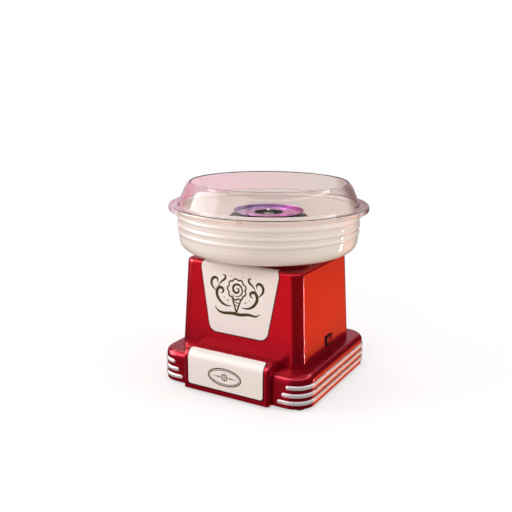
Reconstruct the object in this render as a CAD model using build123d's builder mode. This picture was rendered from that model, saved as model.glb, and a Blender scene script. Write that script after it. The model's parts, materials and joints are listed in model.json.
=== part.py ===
from build123d import *
import os
from math import atan, cos, radians, sin, sqrt, tan

os.makedirs("parts", exist_ok=True)

# All sizes in millimetres. Z is up, the front faces -Y, and Z = 0 is the surface the machine stands on.

# General clearances
seat_gap = 0.3  # between a piece and the pocket or wall it sits in
screw_gap = 0.15  # round a screw's shank
running_gap = 0.05  # radial clearance of a turning shaft or pin

# Heights that stack up from the table
foot_height = 3.0
plinth_height = 46.0
tower_height = 135.0
collar_height = 10.5
bowl_height = 65.0
base_z = foot_height
plinth_top_z = base_z + plinth_height
deck_z = plinth_top_z + tower_height
bowl_z = deck_z + collar_height
rim_z = bowl_z + bowl_height

# Plinth
plinth_half_x = 120.0
plinth_half_y = 114.0
plinth_corner_r = 30.0
plinth_edge_r = 8.0
plinth_wall = 2.5

# Tower
tower_foot_x = 100.0
tower_foot_y = 89.0
tower_top_x = 93.0
tower_top_y = 84.0
tower_corner_r = 16.0
tower_edge_r = 5.0
tower_wall = 3.0
tower_post_height = 20.0
deck_hole_r = 14.0
lead_slot_length = 26.0
lead_slot_width = 10.0
vent_count = 6
vent_pitch = 8.0
vent_length = 60.0
vent_width = 3.0
vent_height = 68.0  # middle of the rear vents above the tower's foot

# Screws and the posts they bite into
post_r = 5.0
post_bite = 1.0  # how far a corner post runs into the wall beside it
shank_r = 1.8
head_r = 3.5
head_height = 2.0
cross_width = 0.9
cross_length = 4.4
cross_depth = 0.9
thread_reach = 10.0

# Badge box on the front of the plinth, and its plate
badge_inset = 50.5  # from the plinth's sides in to the badge box's
badge_reach = 10.0  # in front of the plinth
badge_height = 59.5
badge_round_r = 13.0
badge_slope = 13.0  # degrees, fall of the top towards the tower
badge_edge_r = 4.0
badge_wall = 2.5
badge_recess = 1.0
badge_post_x = 45.0
badge_post_height = 24.0
plate_margin = 8.7  # from the badge box's sides to the plate's
plate_low = 8.5  # bottom edge of the plate above the plinth's bottom edge
plate_depth = 11.0  # how far back the plate wraps over the top
plate_corner_r = 4.0
plate_proud = 0.6
plate_gap = 0.4

# Front panel let into the tower
panel_top_half_x = 64.0
panel_low_half_x = 46.2
panel_low = 79.5  # bottom edge of the panel above the plinth's bottom edge
panel_corner_r = 13.0
panel_recess = 1.2
panel_proud = 0.5
panel_gap = 0.5
panel_wrap = 8.0  # how far the panel runs back over the deck

# Trim strips round the plinth
strip_heights = {"trim_strip_bottom": 8.5, "trim_strip_middle": 19.5, "trim_strip_top": 30.8}
# from the plinth's side in to the strip's end
strip_ends = {"trim_strip_bottom": 42.0, "trim_strip_middle": 35.5, "trim_strip_top": 29.0}
strip_width = 5.8
strip_proud = 1.8
strip_groove = 0.8
strip_edge_r = 1.5

# Bottom cover and feet
cover_inset = 0.5
cover_thickness = 2.0
foot_r = 9.0
foot_inset = 17.5  # from the plinth's sides to a foot's middle
foot_edge_r = 0.75
foot_well_r = 4.2
foot_well_depth = 2.6
cover_slot_length = 28.0
cover_slot_width = 3.0
cover_slot_pitch = 9.0
cover_slot_rows = 6
cover_slot_columns = 2

# Cord gland in the tower's rear wall
gland_height = 62.0  # above the plinth's bottom edge
gland_bore_r = 3.6
gland_neck_r = 6.5
gland_flange_r = 9.0
gland_flange_thickness = 3.0
gland_clip_r = 8.0
gland_clip_thickness = 2.5
gland_edge_r = 1.2

# Rocker switch in the tower's right wall
switch_y = 6.0
switch_height = 62.0  # above the plinth's bottom edge
bezel_length = 21.0
bezel_width = 15.0
bezel_thickness = 2.0
bezel_corner_r = 1.5
bezel_edge_r = 0.7
switch_length = 19.0
switch_width = 13.0
switch_depth = 14.0
rocker_length = 15.2
rocker_width = 10.0
rocker_play = 0.2
rocker_pivot_depth = 4.0
rocker_tip = 1.8  # tips of the level rocker above the wall
rocker_dip = 1.0  # depth of the shallow V in its face
rocker_root = 4.5  # how far the rocker reaches below its pivot
rocker_taper = 1.0
rocker_tilt = 9.0  # degrees to each side of level
rocker_pin_r = 0.9
rocker_pin_length = 0.9
spade_length = 6.0
spade_width = 4.8
spade_thickness = 0.8
spade_pitch = 6.0

# Heater housing
housing_r = 61.5
housing_wall = 2.0
housing_slope_rise = 5.0  # from its upright wall up to its mouth
housing_top = 59.0  # height of its mouth above the deck
housing_slope_in = 8.5
housing_mouth_width = 6.0
housing_rim_height = 1.8  # the lip that stands round its mouth
housing_rim_width = 1.0
ledge_drop = 27.0  # from the mouth down to the reflector's ledge
ledge_width = 5.5
ledge_thickness = 2.0
housing_post_r = 4.5
housing_post_height = 14.0
housing_post_count = 3
housing_post_start = 150.0  # degrees

# Heater
reflector_sheet = 1.0
reflector_depth = 8.0
reflector_rim_width = 7.2
reflector_slope_in = 7.0
reflector_hole_r = 10.0
element_r = 3.25
element_inset = 7.0  # from the reflector's floor edge in to the heater ring
element_drop = 11.0  # from the housing's mouth down to the heater ring
element_half_gap = 9.0  # degrees from the rear to each leg
element_leg = 31.0
insulator_r = 4.5
insulator_flange_r = 5.5
insulator_height = 8.0
insulator_flange = 2.0
cutout_r = 8.0
cutout_thickness = 5.0
cutout_x = -24.0
cutout_cap_r = 5.0
cutout_cap_thickness = 2.0

# Motor
motor_r = 30.0
motor_wall = 1.5
motor_length = 68.5
motor_drop = 24.5  # from the deck down to the motor's top
bearing_r = 8.0
bearing_length = 7.0
bearing_boss_r = 10.5
bearing_boss_length = 5.0
cap_thickness = 4.0
cap_lip = 3.0
magnet_gap = 0.1
magnet_thickness = 5.9
magnet_length = 42.0
magnet_low = 16.0  # above the motor's bottom
magnet_arc = 140.0
holder_length = 14.0
holder_width = 9.0
holder_height = 12.0
holder_gap = 2.0  # between a brush holder and the commutator
brush_width = 4.0
brush_height = 5.0
brush_length = 11.0
brush_height_above_cap = 4.0
bracket_half = 46.0
bracket_thickness = 2.0
bracket_corner_r = 6.0
motor_post_xy = 38.0
motor_post_length = 12.0
damper_r = 6.5
motor_screw_x = 20.0
small_shank_r = 1.5
small_head_r = 2.8
small_head_height = 1.6

# Spindle and what turns with it
shaft_r = 4.0
shaft_end = 3.0  # below the fan
shoulder_r = 6.5
shoulder_length = 4.0
pan_dip = 4.0  # the head's floor below the housing's mouth
tip_rise = 7.0  # where the thin tip begins above the head's seat
tip_length = 6.0
tip_r = 2.5
tip_edge_r = 1.8
drive_pin_r = 1.25
drive_pin_half = 6.5
drive_pin_rise = 2.0  # above the head's seat
tip_pin_r = 0.9
tip_pin_half = 3.8
core_gap = 0.8  # between the core and the magnets
core_length = 36.0
core_low = 19.0  # above the motor's bottom
core_slots = 5
core_slot_r = 4.5
core_slot_depth = 7.7  # middle of a slot below the core's surface
core_mouth_width = 2.4
winding_inset = 2.7
winding_in_r = 8.0
winding_length = 5.0
commutator_r = 7.0
commutator_length = 9.0
commutator_low = 5.0  # above the motor's bottom
commutator_bars = 10
bar_cut_width = 0.5
bar_cut_depth = 0.8
press_gap = 0.02  # what is fixed on the shaft
fan_hub_r = 9.0
fan_hub_length = 12.0
fan_drop = 22.0  # from the motor's can down to the bottom of its hub
fan_r = 38.0
fan_blades = 7
fan_blade_width = 12.0
fan_blade_thickness = 1.3
fan_pitch = 50.0  # degrees

# Extractor head
pan_sheet = 1.2
pan_gap = 2.0  # between the pan and the housing's mouth
pan_slope_in = 5.0
pan_flange_gap = 0.6  # between the pan's flange and the housing's lip
pan_rise = 4.3  # from the pan's floor up to its flange
head_hub_r = 8.5
hub_flange_r = 11.0
hub_flange_thickness = 1.6
hub_tube_r = 7.2
hub_length = 6.2
hub_slot_rise = 3.6
band_inset = 1.4
band_sheet = 1.2
band_height = 1.6
band_slots = 48
band_slot_width = 1.2
band_slot_height = 0.9
lid_overhang = 0.2
lid_sheet = 1.2
lid_lip_height = 3.2
lid_lip_width = 1.2
lid_opening_r = 21.2
lid_collar_drop = 3.0
lid_ridge_r = 35.2  # middle of the raised ring in the lid
lid_ridge_width = 3.6
lid_ridge_height = 0.8
lid_ridge_edge_r = 0.7
spacer_r = 1.8
spacer_inset = 3.5
spacer_count = 3

# Floss bowl
bowl_wall = 2.5
bowl_rim_r = 134.0
bowl_draft = 3.2  # degrees
bowl_corner_r = 18.0
bowl_hub_gap = 1.5  # round the heater housing
bowl_hub_height = 36.5
bead_heights = (28.2, 38.8, 50.8)  # middle of each bead above the bowl's bottom
bead_half = 3.2
bead_proud = 1.3
lip_setback = 5.4
lip_thickness = 2.2
lip_height = 2.8
lip_slope = 2.5
collar_gap = 3.0  # from the bowl's hub out to the collar
collar_wall = 4.0
lug_count = 3
lug_width = 7.0
lug_drop = 4.0

# Rim guard
guard_wall = 1.8
guard_overhang = 12.0  # outside the bowl's rim
guard_lip_drop = 5.0  # below the bowl's rim
guard_bend_r = 3.0
guard_flange_width = 13.6
dome_lean = 23.0  # degrees from upright
dome_side = 23.4
dome_bend_r = 25.6
dome_bend = 31.4  # degrees
tab_count = 6
tab_start = -18.0  # degrees
tab_width = 6.0
tab_thickness = 2.0
tab_drop = 4.5
tab_clearance = 1.0

# Terminal block and leads
terminal_x = 40.0
terminal_y = 58.0
terminal_length = 32.0
terminal_width = 18.0
terminal_height = 14.0
terminal_pitch = 6.0
terminal_count = 4
terminal_screw_r = 2.0
terminal_screw_depth = 5.0
lead_r = 1.2
lead_bend_r = 6.0
switch_lead_top = 45.0  # where it turns from upright
switch_lead_turn_x = 60.0
switch_lead_turn_y = 30.0
switch_lead_turn_z = 55.0
switch_lead_run_x = 58.0
lead_offset = 1.0
motor_lead_top = 70.0
motor_lead_reach = 16.0
heater_lead_top = 150.0
heater_lead_drop = 14.0

# Sizes that follow from others
badge_half_x = plinth_half_x - badge_inset
badge_front_y = plinth_half_y + badge_reach
plate_half_x = badge_half_x - plate_margin
plate_rear_y = badge_front_y - plate_depth
housing_skirt = housing_top - housing_slope_rise
housing_mouth_r = housing_r - housing_slope_in
housing_opening_r = housing_mouth_r - housing_mouth_width
ledge_height = housing_top - ledge_drop
reflector_rim_r = housing_r - housing_wall - seat_gap
reflector_slope_r = reflector_rim_r - reflector_rim_width
reflector_floor_r = reflector_slope_r - reflector_slope_in
element_ring_r = reflector_floor_r - element_inset
element_height = housing_top - element_drop
magnet_out_r = motor_r - motor_wall - magnet_gap
magnet_in_r = magnet_out_r - magnet_thickness
core_r = magnet_in_r - core_gap
core_slot_mid_r = core_r - core_slot_depth
winding_r = core_r - winding_inset
shoulder_height = housing_top - pan_dip
tip_start = shoulder_height + tip_rise
pan_wall_r = housing_opening_r - pan_gap
pan_floor_r = pan_wall_r - pan_slope_in
pan_flange_r = housing_mouth_r - housing_rim_width - pan_flange_gap
band_r = pan_flange_r - band_inset
lid_r = pan_flange_r + lid_overhang
spacer_ring_r = band_r - spacer_inset
bowl_hub_r = housing_r + bowl_hub_gap
collar_r = bowl_hub_r + collar_gap + collar_wall
lip_out_r = bowl_rim_r - lip_setback
lip_in_r = lip_out_r - lip_thickness
guard_r = bowl_rim_r + guard_overhang
guard_base_r = guard_r - guard_flange_width


def prism(half_x, half_y, corner_r, low_z, high_z):
    with BuildPart() as block:
        with BuildSketch(Plane.XY.offset(low_z)):
            RectangleRounded(2 * half_x, 2 * half_y, corner_r)
        extrude(amount=high_z - low_z)
    return block.part


def ring(outer_r, inner_r, low_z, high_z):
    with BuildPart() as band:
        with BuildSketch(Plane.XY.offset(low_z)):
            Circle(outer_r)
            Circle(inner_r, mode=Mode.SUBTRACT)
        extrude(amount=high_z - low_z)
    return band.part


def screws(seat, points, reach, shank, head, height):
    # The seat plane faces the way the shanks point.
    with BuildPart() as group:
        with BuildSketch(seat):
            with Locations(*points):
                Circle(head)
        extrude(amount=-height)
        with BuildSketch(seat):
            with Locations(*points):
                Circle(shank)
        extrude(amount=reach)
        with BuildSketch(seat.offset(-height)):
            with Locations(*points):
                Rectangle(cross_length, cross_width)
                Rectangle(cross_width, cross_length)
        extrude(amount=cross_depth, mode=Mode.SUBTRACT)
    return group.part


def save(piece, name):
    piece.part.label = name
    export_step(piece.part, f"parts/{name}.step")


def tower_envelope(grow):
    # The tower's outer form, moved outwards by grow.
    with BuildPart() as envelope:
        with BuildSketch(Plane.XY.offset(plinth_top_z)):
            RectangleRounded(2 * (tower_foot_x + grow), 2 * (tower_foot_y + grow), tower_corner_r + grow)
        with BuildSketch(Plane.XY.offset(deck_z + grow)):
            RectangleRounded(2 * (tower_top_x + grow), 2 * (tower_top_y + grow), tower_corner_r + grow)
        loft(ruled=True)
        fillet(envelope.edges().group_by(Axis.Z)[-1], tower_edge_r + grow)
    return envelope.part


def panel_prism(grow):
    # The front panel's outline, moved outwards by grow and run through the tower's front wall.
    top_z = deck_z + tower_edge_r
    low_z = base_z + panel_low
    widening = (panel_top_half_x - panel_low_half_x) * (top_z - low_z) / (deck_z - low_z)
    top_half = panel_low_half_x + widening
    with BuildPart() as outline:
        with BuildSketch(Plane.XZ.offset(tower_top_y - panel_wrap - grow)) as face:
            with BuildLine():
                Polyline(
                    (-panel_low_half_x, low_z),
                    (panel_low_half_x, low_z),
                    (top_half, top_z),
                    (-top_half, top_z),
                    close=True,
                )
            make_face()
            fillet(face.vertices().group_by(Axis.Z)[0], panel_corner_r)
            offset(amount=grow)
        extrude(amount=tower_foot_y)
    return outline.part


def badge_form(shrink):
    # The badge box's outer form, moved inwards by shrink; its back runs into the tower.
    round_r = badge_round_r - shrink
    front_y = -badge_front_y + shrink
    top_z = base_z + badge_height - shrink
    back_y = -tower_top_y
    low_z = base_z + shrink
    with BuildPart() as form:
        with BuildSketch(Plane.YZ):
            with BuildLine():
                front = Line((front_y, low_z), (front_y, top_z - round_r))
                turn = JernArc(front @ 1, (0, 1), round_r, -(90 + badge_slope))
                run = back_y - (turn @ 1).X
                back_z = (turn @ 1).Y - run * tan(radians(badge_slope))
                Polyline(turn @ 1, (back_y, back_z), (back_y, low_z), front @ 0)
            make_face()
        extrude(amount=badge_half_x - shrink, both=True)
        sides = form.edges().filter_by(lambda edge: abs(edge.center().X) > badge_half_x - shrink - seat_gap)
        shown = sides.filter_by(lambda edge: edge.center().Y < back_y - seat_gap and edge.center().Z > low_z)
        fillet(shown.filter_by(lambda edge: edge.center().Z > low_z + seat_gap), badge_edge_r - shrink)
    return form.part


def plate_prism(grow):
    # The badge plate's outline, moved outwards by grow: seen from the front and from above.
    half_x = plate_half_x + grow
    corner_r = plate_corner_r + grow
    low_z = base_z + plate_low - grow
    high_z = base_z + badge_height + badge_edge_r
    with BuildPart() as front_form:
        with BuildSketch(Plane.XZ.offset(plate_rear_y - grow)) as face:
            with Locations((0, (low_z + high_z) / 2)):
                Rectangle(2 * half_x, high_z - low_z)
            fillet(face.vertices().group_by(Axis.Z)[0], corner_r)
        extrude(amount=badge_front_y)
    depth = badge_front_y - plate_rear_y + badge_edge_r + grow
    with BuildPart() as plan_form:
        with BuildSketch(Plane.XY) as face:
            with Locations((0, -plate_rear_y + grow - depth / 2)):
                Rectangle(2 * half_x, depth)
            fillet(face.vertices().group_by(Axis.Y)[-1], corner_r)
        extrude(amount=high_z)
    with BuildPart() as both_forms:
        add(front_form.part)
        add(plan_form.part, mode=Mode.INTERSECT)
    return both_forms.part


def strip_band(name, out, clearance, edge_r):
    # One trim strip's band round the plinth, from the groove's bottom out to out, with rounded ends.
    middle_z = base_z + strip_heights[name]
    half = strip_width / 2 + clearance
    end_x = plinth_half_x - strip_ends[name] + strip_width / 2
    groove_y = plinth_half_y - strip_groove
    with BuildPart() as ends:
        with BuildSketch(Plane.XZ.offset(groove_y)):
            with Locations((-end_x, middle_z), (end_x, middle_z)):
                Circle(half)
        extrude(amount=strip_groove + out)
        if edge_r:
            fillet(ends.edges().group_by(Axis.Y)[0], edge_r)
    with BuildPart() as band:
        with BuildSketch(Plane.XY.offset(middle_z - half)):
            RectangleRounded(2 * (plinth_half_x + out), 2 * (plinth_half_y + out), plinth_corner_r + out)
        extrude(amount=2 * half)
        if edge_r:
            fillet(band.edges().group_by(Axis.Z)[0] + band.edges().group_by(Axis.Z)[-1], edge_r)
        with BuildSketch(Plane.XY.offset(middle_z - half)):
            RectangleRounded(2 * (plinth_half_x - strip_groove), 2 * groove_y, plinth_corner_r - strip_groove)
        extrude(amount=2 * half, mode=Mode.SUBTRACT)
        with BuildSketch(Plane.XZ.offset(groove_y)):
            with Locations((0, middle_z)):
                Rectangle(2 * end_x, strip_width + 2 * strip_proud)
        extrude(amount=strip_groove + 2 * strip_proud, mode=Mode.SUBTRACT)
        add(ends.part)
    return band.part


def lead(points):
    with BuildPart() as wire:
        with BuildLine() as route:
            FilletPolyline(*points, radius=lead_bend_r)
        with BuildSketch(Plane(origin=route.line @ 0, z_dir=route.line % 0)):
            Circle(lead_r)
        sweep()
    return wire.part


# Places worked out from the sizes
corner_reach = (tower_corner_r - tower_wall - post_r + post_bite) / sqrt(2)
tower_post_x = tower_foot_x - tower_corner_r + corner_reach
tower_post_y = tower_foot_y - tower_corner_r + corner_reach
tower_posts = [(sx * tower_post_x, sy * tower_post_y) for sx in (-1, 1) for sy in (-1, 1)]
opening_half_x = tower_post_x - post_r - plinth_wall
opening_half_y = tower_post_y - post_r - plinth_wall
foot_x = plinth_half_x - foot_inset
foot_y = plinth_half_y - foot_inset
feet = {
    "foot_front_left": (-foot_x, -foot_y),
    "foot_front_right": (foot_x, -foot_y),
    "foot_rear_left": (-foot_x, foot_y),
    "foot_rear_right": (foot_x, foot_y),
}
cover_low_z = base_z + cover_inset
cover_top_z = cover_low_z + cover_thickness
inner_top_z = plinth_top_z - plinth_wall
notch_back_y = tower_foot_y + seat_gap
notch_half_x = badge_half_x + seat_gap
badge_posts = [(-badge_post_x, base_z + badge_post_height), (badge_post_x, base_z + badge_post_height)]
motor_posts = [(sx * motor_post_xy, sy * motor_post_xy) for sx in (-1, 1) for sy in (-1, 1)]
motor_top_z = deck_z - motor_drop
motor_low_z = motor_top_z - motor_length
fan_low_z = motor_low_z - fan_drop
bracket_top_z = motor_top_z + bracket_thickness
motor_post_low_z = deck_z - tower_wall - motor_post_length
pan_low_z = deck_z + shoulder_height
pan_flange_z = pan_low_z + pan_rise
band_low_z = pan_flange_z + pan_sheet
lid_low_z = band_low_z + band_height
lid_top_z = lid_low_z + lid_sheet

# Plinth: an open-bottomed shell with a notch for the badge box
with BuildPart() as plinth_cavity:
    add(prism(
        plinth_half_x - plinth_wall,
        plinth_half_y - plinth_wall,
        plinth_corner_r - plinth_wall,
        base_z,
        inner_top_z,
    ))
    fillet(plinth_cavity.edges().group_by(Axis.Z)[-1], plinth_edge_r - plinth_wall)
    with BuildSketch(Plane.XY.offset(base_z)):
        with Locations((0, -notch_back_y + plinth_wall - plinth_half_y / 2)):
            Rectangle(2 * (notch_half_x + plinth_wall), plinth_half_y)
    extrude(amount=plinth_height, mode=Mode.SUBTRACT)
    with BuildSketch(Plane.XY.offset(cover_top_z)):
        with Locations(*feet.values()):
            Circle(post_r)
    extrude(amount=plinth_height, mode=Mode.SUBTRACT)

with BuildPart() as plinth_shell:
    add(prism(plinth_half_x, plinth_half_y, plinth_corner_r, base_z, plinth_top_z))
    fillet(plinth_shell.edges().group_by(Axis.Z)[-1], plinth_edge_r)
    with BuildSketch(Plane.XY.offset(base_z)):
        with Locations((0, -notch_back_y - plinth_half_y / 2)):
            Rectangle(2 * notch_half_x, plinth_half_y)
    extrude(amount=plinth_height, mode=Mode.SUBTRACT)
    add(plinth_cavity.part, mode=Mode.SUBTRACT)
    with BuildSketch(Plane.XY.offset(inner_top_z)):
        RectangleRounded(2 * opening_half_x, 2 * opening_half_y, post_r)
    extrude(amount=plinth_wall, mode=Mode.SUBTRACT)
    with BuildSketch(Plane.XY.offset(inner_top_z)):
        with Locations(*tower_posts):
            Circle(shank_r + screw_gap)
    extrude(amount=plinth_wall, mode=Mode.SUBTRACT)
    with BuildSketch(Plane.XY.offset(cover_top_z)):
        with Locations(*feet.values()):
            Circle(shank_r + screw_gap)
    extrude(amount=thread_reach + screw_gap, mode=Mode.SUBTRACT)
    with BuildSketch(Plane.XZ.offset(notch_back_y - plinth_wall)):
        with Locations(*badge_posts):
            Circle(shank_r + screw_gap)
    extrude(amount=plinth_wall, mode=Mode.SUBTRACT)
    for strip_name in strip_heights:
        add(strip_band(strip_name, strip_proud, seat_gap / 2, 0), mode=Mode.SUBTRACT)
save(plinth_shell, "plinth_shell")

# Trim strips, let into grooves and standing proud of the plinth
for strip_name in strip_heights:
    with BuildPart() as trim_strip:
        add(strip_band(strip_name, strip_proud, 0, strip_edge_r))
    save(trim_strip, strip_name)

# Badge box: a hollow block, open to the rear, with a pocket for its plate
with BuildPart() as badge_pocket:
    add(badge_form(-badge_edge_r))
    add(badge_form(badge_recess), mode=Mode.SUBTRACT)
    add(plate_prism(plate_gap), mode=Mode.INTERSECT)

with BuildPart() as badge_box:
    add(badge_form(0))
    add(badge_form(badge_wall), mode=Mode.SUBTRACT)
    with BuildSketch(Plane.XZ.offset(tower_foot_y)):
        with Locations(*badge_posts):
            Circle(post_r)
    extrude(amount=badge_front_y - badge_wall / 2 - tower_foot_y)
    with BuildSketch(Plane.XY):
        with Locations((0, -notch_back_y + plinth_half_y / 2)):
            Rectangle(2 * plinth_half_x, plinth_half_y)
    extrude(amount=plinth_top_z, mode=Mode.SUBTRACT)
    with BuildSketch(Plane.YZ):
        with BuildLine():
            Polyline(
                (-notch_back_y, plinth_top_z),
                (-tower_top_y - seat_gap, deck_z),
                (0, deck_z),
                (0, plinth_top_z),
                close=True,
            )
        make_face()
    extrude(amount=plinth_half_x, both=True, mode=Mode.SUBTRACT)
    with BuildSketch(Plane.XZ.offset(notch_back_y)):
        with Locations(*badge_posts):
            Circle(shank_r + screw_gap)
    extrude(amount=thread_reach + screw_gap, mode=Mode.SUBTRACT)
    add(badge_pocket.part, mode=Mode.SUBTRACT)
save(badge_box, "badge_box")

with BuildPart() as badge_plate:
    add(badge_form(-plate_proud))
    add(badge_form(badge_recess), mode=Mode.SUBTRACT)
    add(plate_prism(0), mode=Mode.INTERSECT)
save(badge_plate, "badge_plate")

# Tower: a tapered shell with the deck, the bowl's collar and posts for its screws and the motor's
switch_wall_lean = atan((tower_foot_x - tower_top_x) / tower_height)
rear_wall_lean = atan((tower_foot_y - tower_top_y) / tower_height)
switch_rise = base_z + switch_height - plinth_top_z
switch_x = tower_foot_x - switch_rise * tan(switch_wall_lean)
switch_out = Vector(cos(switch_wall_lean), 0, sin(switch_wall_lean))
switch_up = Vector(-sin(switch_wall_lean), 0, cos(switch_wall_lean))
switch_origin = Vector(switch_x, switch_y, base_z + switch_height)
switch_plane = Plane(origin=switch_origin, x_dir=(0, 1, 0), z_dir=switch_out)
gland_rise = base_z + gland_height - plinth_top_z
gland_y = tower_foot_y - gland_rise * tan(rear_wall_lean)
gland_plane = Plane(
    origin=(0, gland_y, base_z + gland_height),
    x_dir=(1, 0, 0),
    z_dir=(0, cos(rear_wall_lean), sin(rear_wall_lean)),
)
lug_turns = [turn * 360 / lug_count for turn in range(lug_count)]
lug_mid_r = collar_r - collar_wall / 2
element_leg_x = element_ring_r * sin(radians(element_half_gap))
element_leg_y = element_ring_r * cos(radians(element_half_gap))
housing_post_mid_r = housing_r - housing_wall - housing_post_r + post_bite
housing_turns = [
    radians(housing_post_start + turn * 360 / housing_post_count)
    for turn in range(housing_post_count)
]
housing_posts = [(housing_post_mid_r * cos(turn), housing_post_mid_r * sin(turn)) for turn in housing_turns]

with BuildPart() as panel_pocket:
    add(tower_envelope(panel_corner_r))
    add(tower_envelope(-panel_recess), mode=Mode.SUBTRACT)
    add(panel_prism(panel_gap), mode=Mode.INTERSECT)

with BuildPart() as tower_shell:
    add(tower_envelope(0))
    add(tower_envelope(-tower_wall), mode=Mode.SUBTRACT)
    add(ring(collar_r, collar_r - collar_wall, deck_z, bowl_z))
    for turn in lug_turns:
        with BuildSketch(Plane.XY.offset(bowl_z - lug_drop - seat_gap)):
            with Locations(Rot(0, 0, turn) * Pos(lug_mid_r, 0)):
                Rectangle(2 * collar_wall, lug_width + 2 * seat_gap)
        extrude(amount=lug_drop + 2 * seat_gap, mode=Mode.SUBTRACT)
    with BuildSketch(Plane.XY.offset(plinth_top_z)):
        with Locations(*tower_posts):
            Circle(post_r)
    extrude(amount=tower_post_height)
    with BuildSketch(Plane.XY.offset(plinth_top_z)):
        with Locations(*tower_posts):
            Circle(shank_r + screw_gap)
    extrude(amount=thread_reach + screw_gap, mode=Mode.SUBTRACT)
    with BuildSketch(Plane.XY.offset(motor_post_low_z)):
        with Locations(*motor_posts):
            Circle(post_r)
    extrude(amount=motor_post_length)
    with BuildSketch(Plane.XY.offset(motor_post_low_z)):
        with Locations(*motor_posts):
            Circle(shank_r + screw_gap)
    extrude(amount=thread_reach + screw_gap, mode=Mode.SUBTRACT)
    with BuildSketch(Plane.XY.offset(deck_z)):
        Circle(deck_hole_r)
        with Locations((0, element_leg_y)):
            RectangleRounded(lead_slot_length, lead_slot_width, lead_slot_width / 2 - seat_gap)
        with Locations(*housing_posts):
            Circle(shank_r + screw_gap)
    extrude(amount=-tower_wall, mode=Mode.SUBTRACT)
    with BuildSketch(switch_plane):
        Rectangle(switch_length + 2 * seat_gap, switch_width + 2 * seat_gap)
    extrude(amount=-2 * tower_wall, mode=Mode.SUBTRACT)
    with BuildSketch(gland_plane):
        Circle(gland_neck_r + seat_gap)
    extrude(amount=-2 * tower_wall, mode=Mode.SUBTRACT)
    with BuildSketch(Plane.XZ.offset(-tower_top_y + tower_wall)):
        with Locations((0, plinth_top_z + vent_height)):
            with GridLocations(0, vent_pitch, 1, vent_count):
                SlotOverall(vent_length, vent_width)
    extrude(amount=-(tower_foot_y - tower_top_y + 2 * tower_wall), mode=Mode.SUBTRACT)
    add(panel_pocket.part, mode=Mode.SUBTRACT)
save(tower_shell, "tower_shell")

with BuildPart() as front_panel:
    add(tower_envelope(panel_proud))
    add(tower_envelope(-panel_recess), mode=Mode.SUBTRACT)
    add(panel_prism(0), mode=Mode.INTERSECT)
save(front_panel, "front_panel")

# Screws that hold the tower, the badge box and the feet
with BuildPart() as tower_screws:
    add(screws(
        Plane.XY.offset(inner_top_z), tower_posts, plinth_wall + thread_reach, shank_r, head_r, head_height
    ))
save(tower_screws, "tower_screws")

with BuildPart() as badge_box_screws:
    seat = Plane.XZ.offset(notch_back_y - plinth_wall)
    add(screws(seat, badge_posts, plinth_wall + thread_reach, shank_r, head_r, head_height))
save(badge_box_screws, "badge_box_screws")

# Bottom cover with its air slots
with BuildPart() as bottom_cover:
    inset = plinth_wall + seat_gap
    add(prism(
        plinth_half_x - inset,
        plinth_half_y - inset,
        plinth_corner_r - inset,
        cover_low_z,
        cover_top_z,
    ))
    with BuildSketch(Plane.XY.offset(cover_low_z)):
        with Locations((0, -notch_back_y + inset - plinth_half_y / 2)):
            Rectangle(2 * (notch_half_x + inset), plinth_half_y)
        with Locations(*feet.values()):
            Circle(shank_r + screw_gap)
        slot_step = cover_slot_length + cover_slot_pitch
        with GridLocations(slot_step, cover_slot_pitch, cover_slot_columns, cover_slot_rows):
            SlotOverall(cover_slot_length, cover_slot_width)
    extrude(amount=cover_thickness, mode=Mode.SUBTRACT)
save(bottom_cover, "bottom_cover")

# Rubber feet, each with a well for its screw's head
for foot_name, foot_place in feet.items():
    with BuildPart() as foot:
        with BuildSketch():
            with Locations(foot_place):
                Circle(foot_r)
        extrude(amount=cover_low_z)
        fillet(foot.edges().group_by(Axis.Z)[0], foot_edge_r)
        with BuildSketch():
            with Locations(foot_place):
                Circle(foot_well_r)
        extrude(amount=foot_well_depth, mode=Mode.SUBTRACT)
        with BuildSketch():
            with Locations(foot_place):
                Circle(shank_r + screw_gap)
        extrude(amount=cover_low_z, mode=Mode.SUBTRACT)
    save(foot, foot_name)

with BuildPart() as foot_screws:
    foot_screw_reach = cover_top_z - foot_well_depth + thread_reach
    seat = Plane.XY.offset(foot_well_depth)
    add(screws(seat, list(feet.values()), foot_screw_reach, shank_r, head_r, head_height))
save(foot_screws, "foot_screws")

# Cord gland, clipped through the rear wall
with BuildPart() as cord_gland:
    with BuildSketch(gland_plane):
        Circle(gland_flange_r)
    extrude(amount=gland_flange_thickness)
    fillet(cord_gland.faces().sort_by(Axis.Y)[-1].edges(), gland_edge_r)
    with BuildSketch(gland_plane):
        Circle(gland_neck_r)
    extrude(amount=-(tower_wall + seat_gap))
    with BuildSketch(gland_plane.offset(-tower_wall - seat_gap)):
        Circle(gland_clip_r)
    extrude(amount=-gland_clip_thickness)
    with BuildSketch(gland_plane.offset(gland_flange_thickness)):
        Circle(gland_bore_r)
    gland_length = gland_flange_thickness + tower_wall + seat_gap + gland_clip_thickness
    extrude(amount=-gland_length, mode=Mode.SUBTRACT)
save(cord_gland, "cord_gland")

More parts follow.
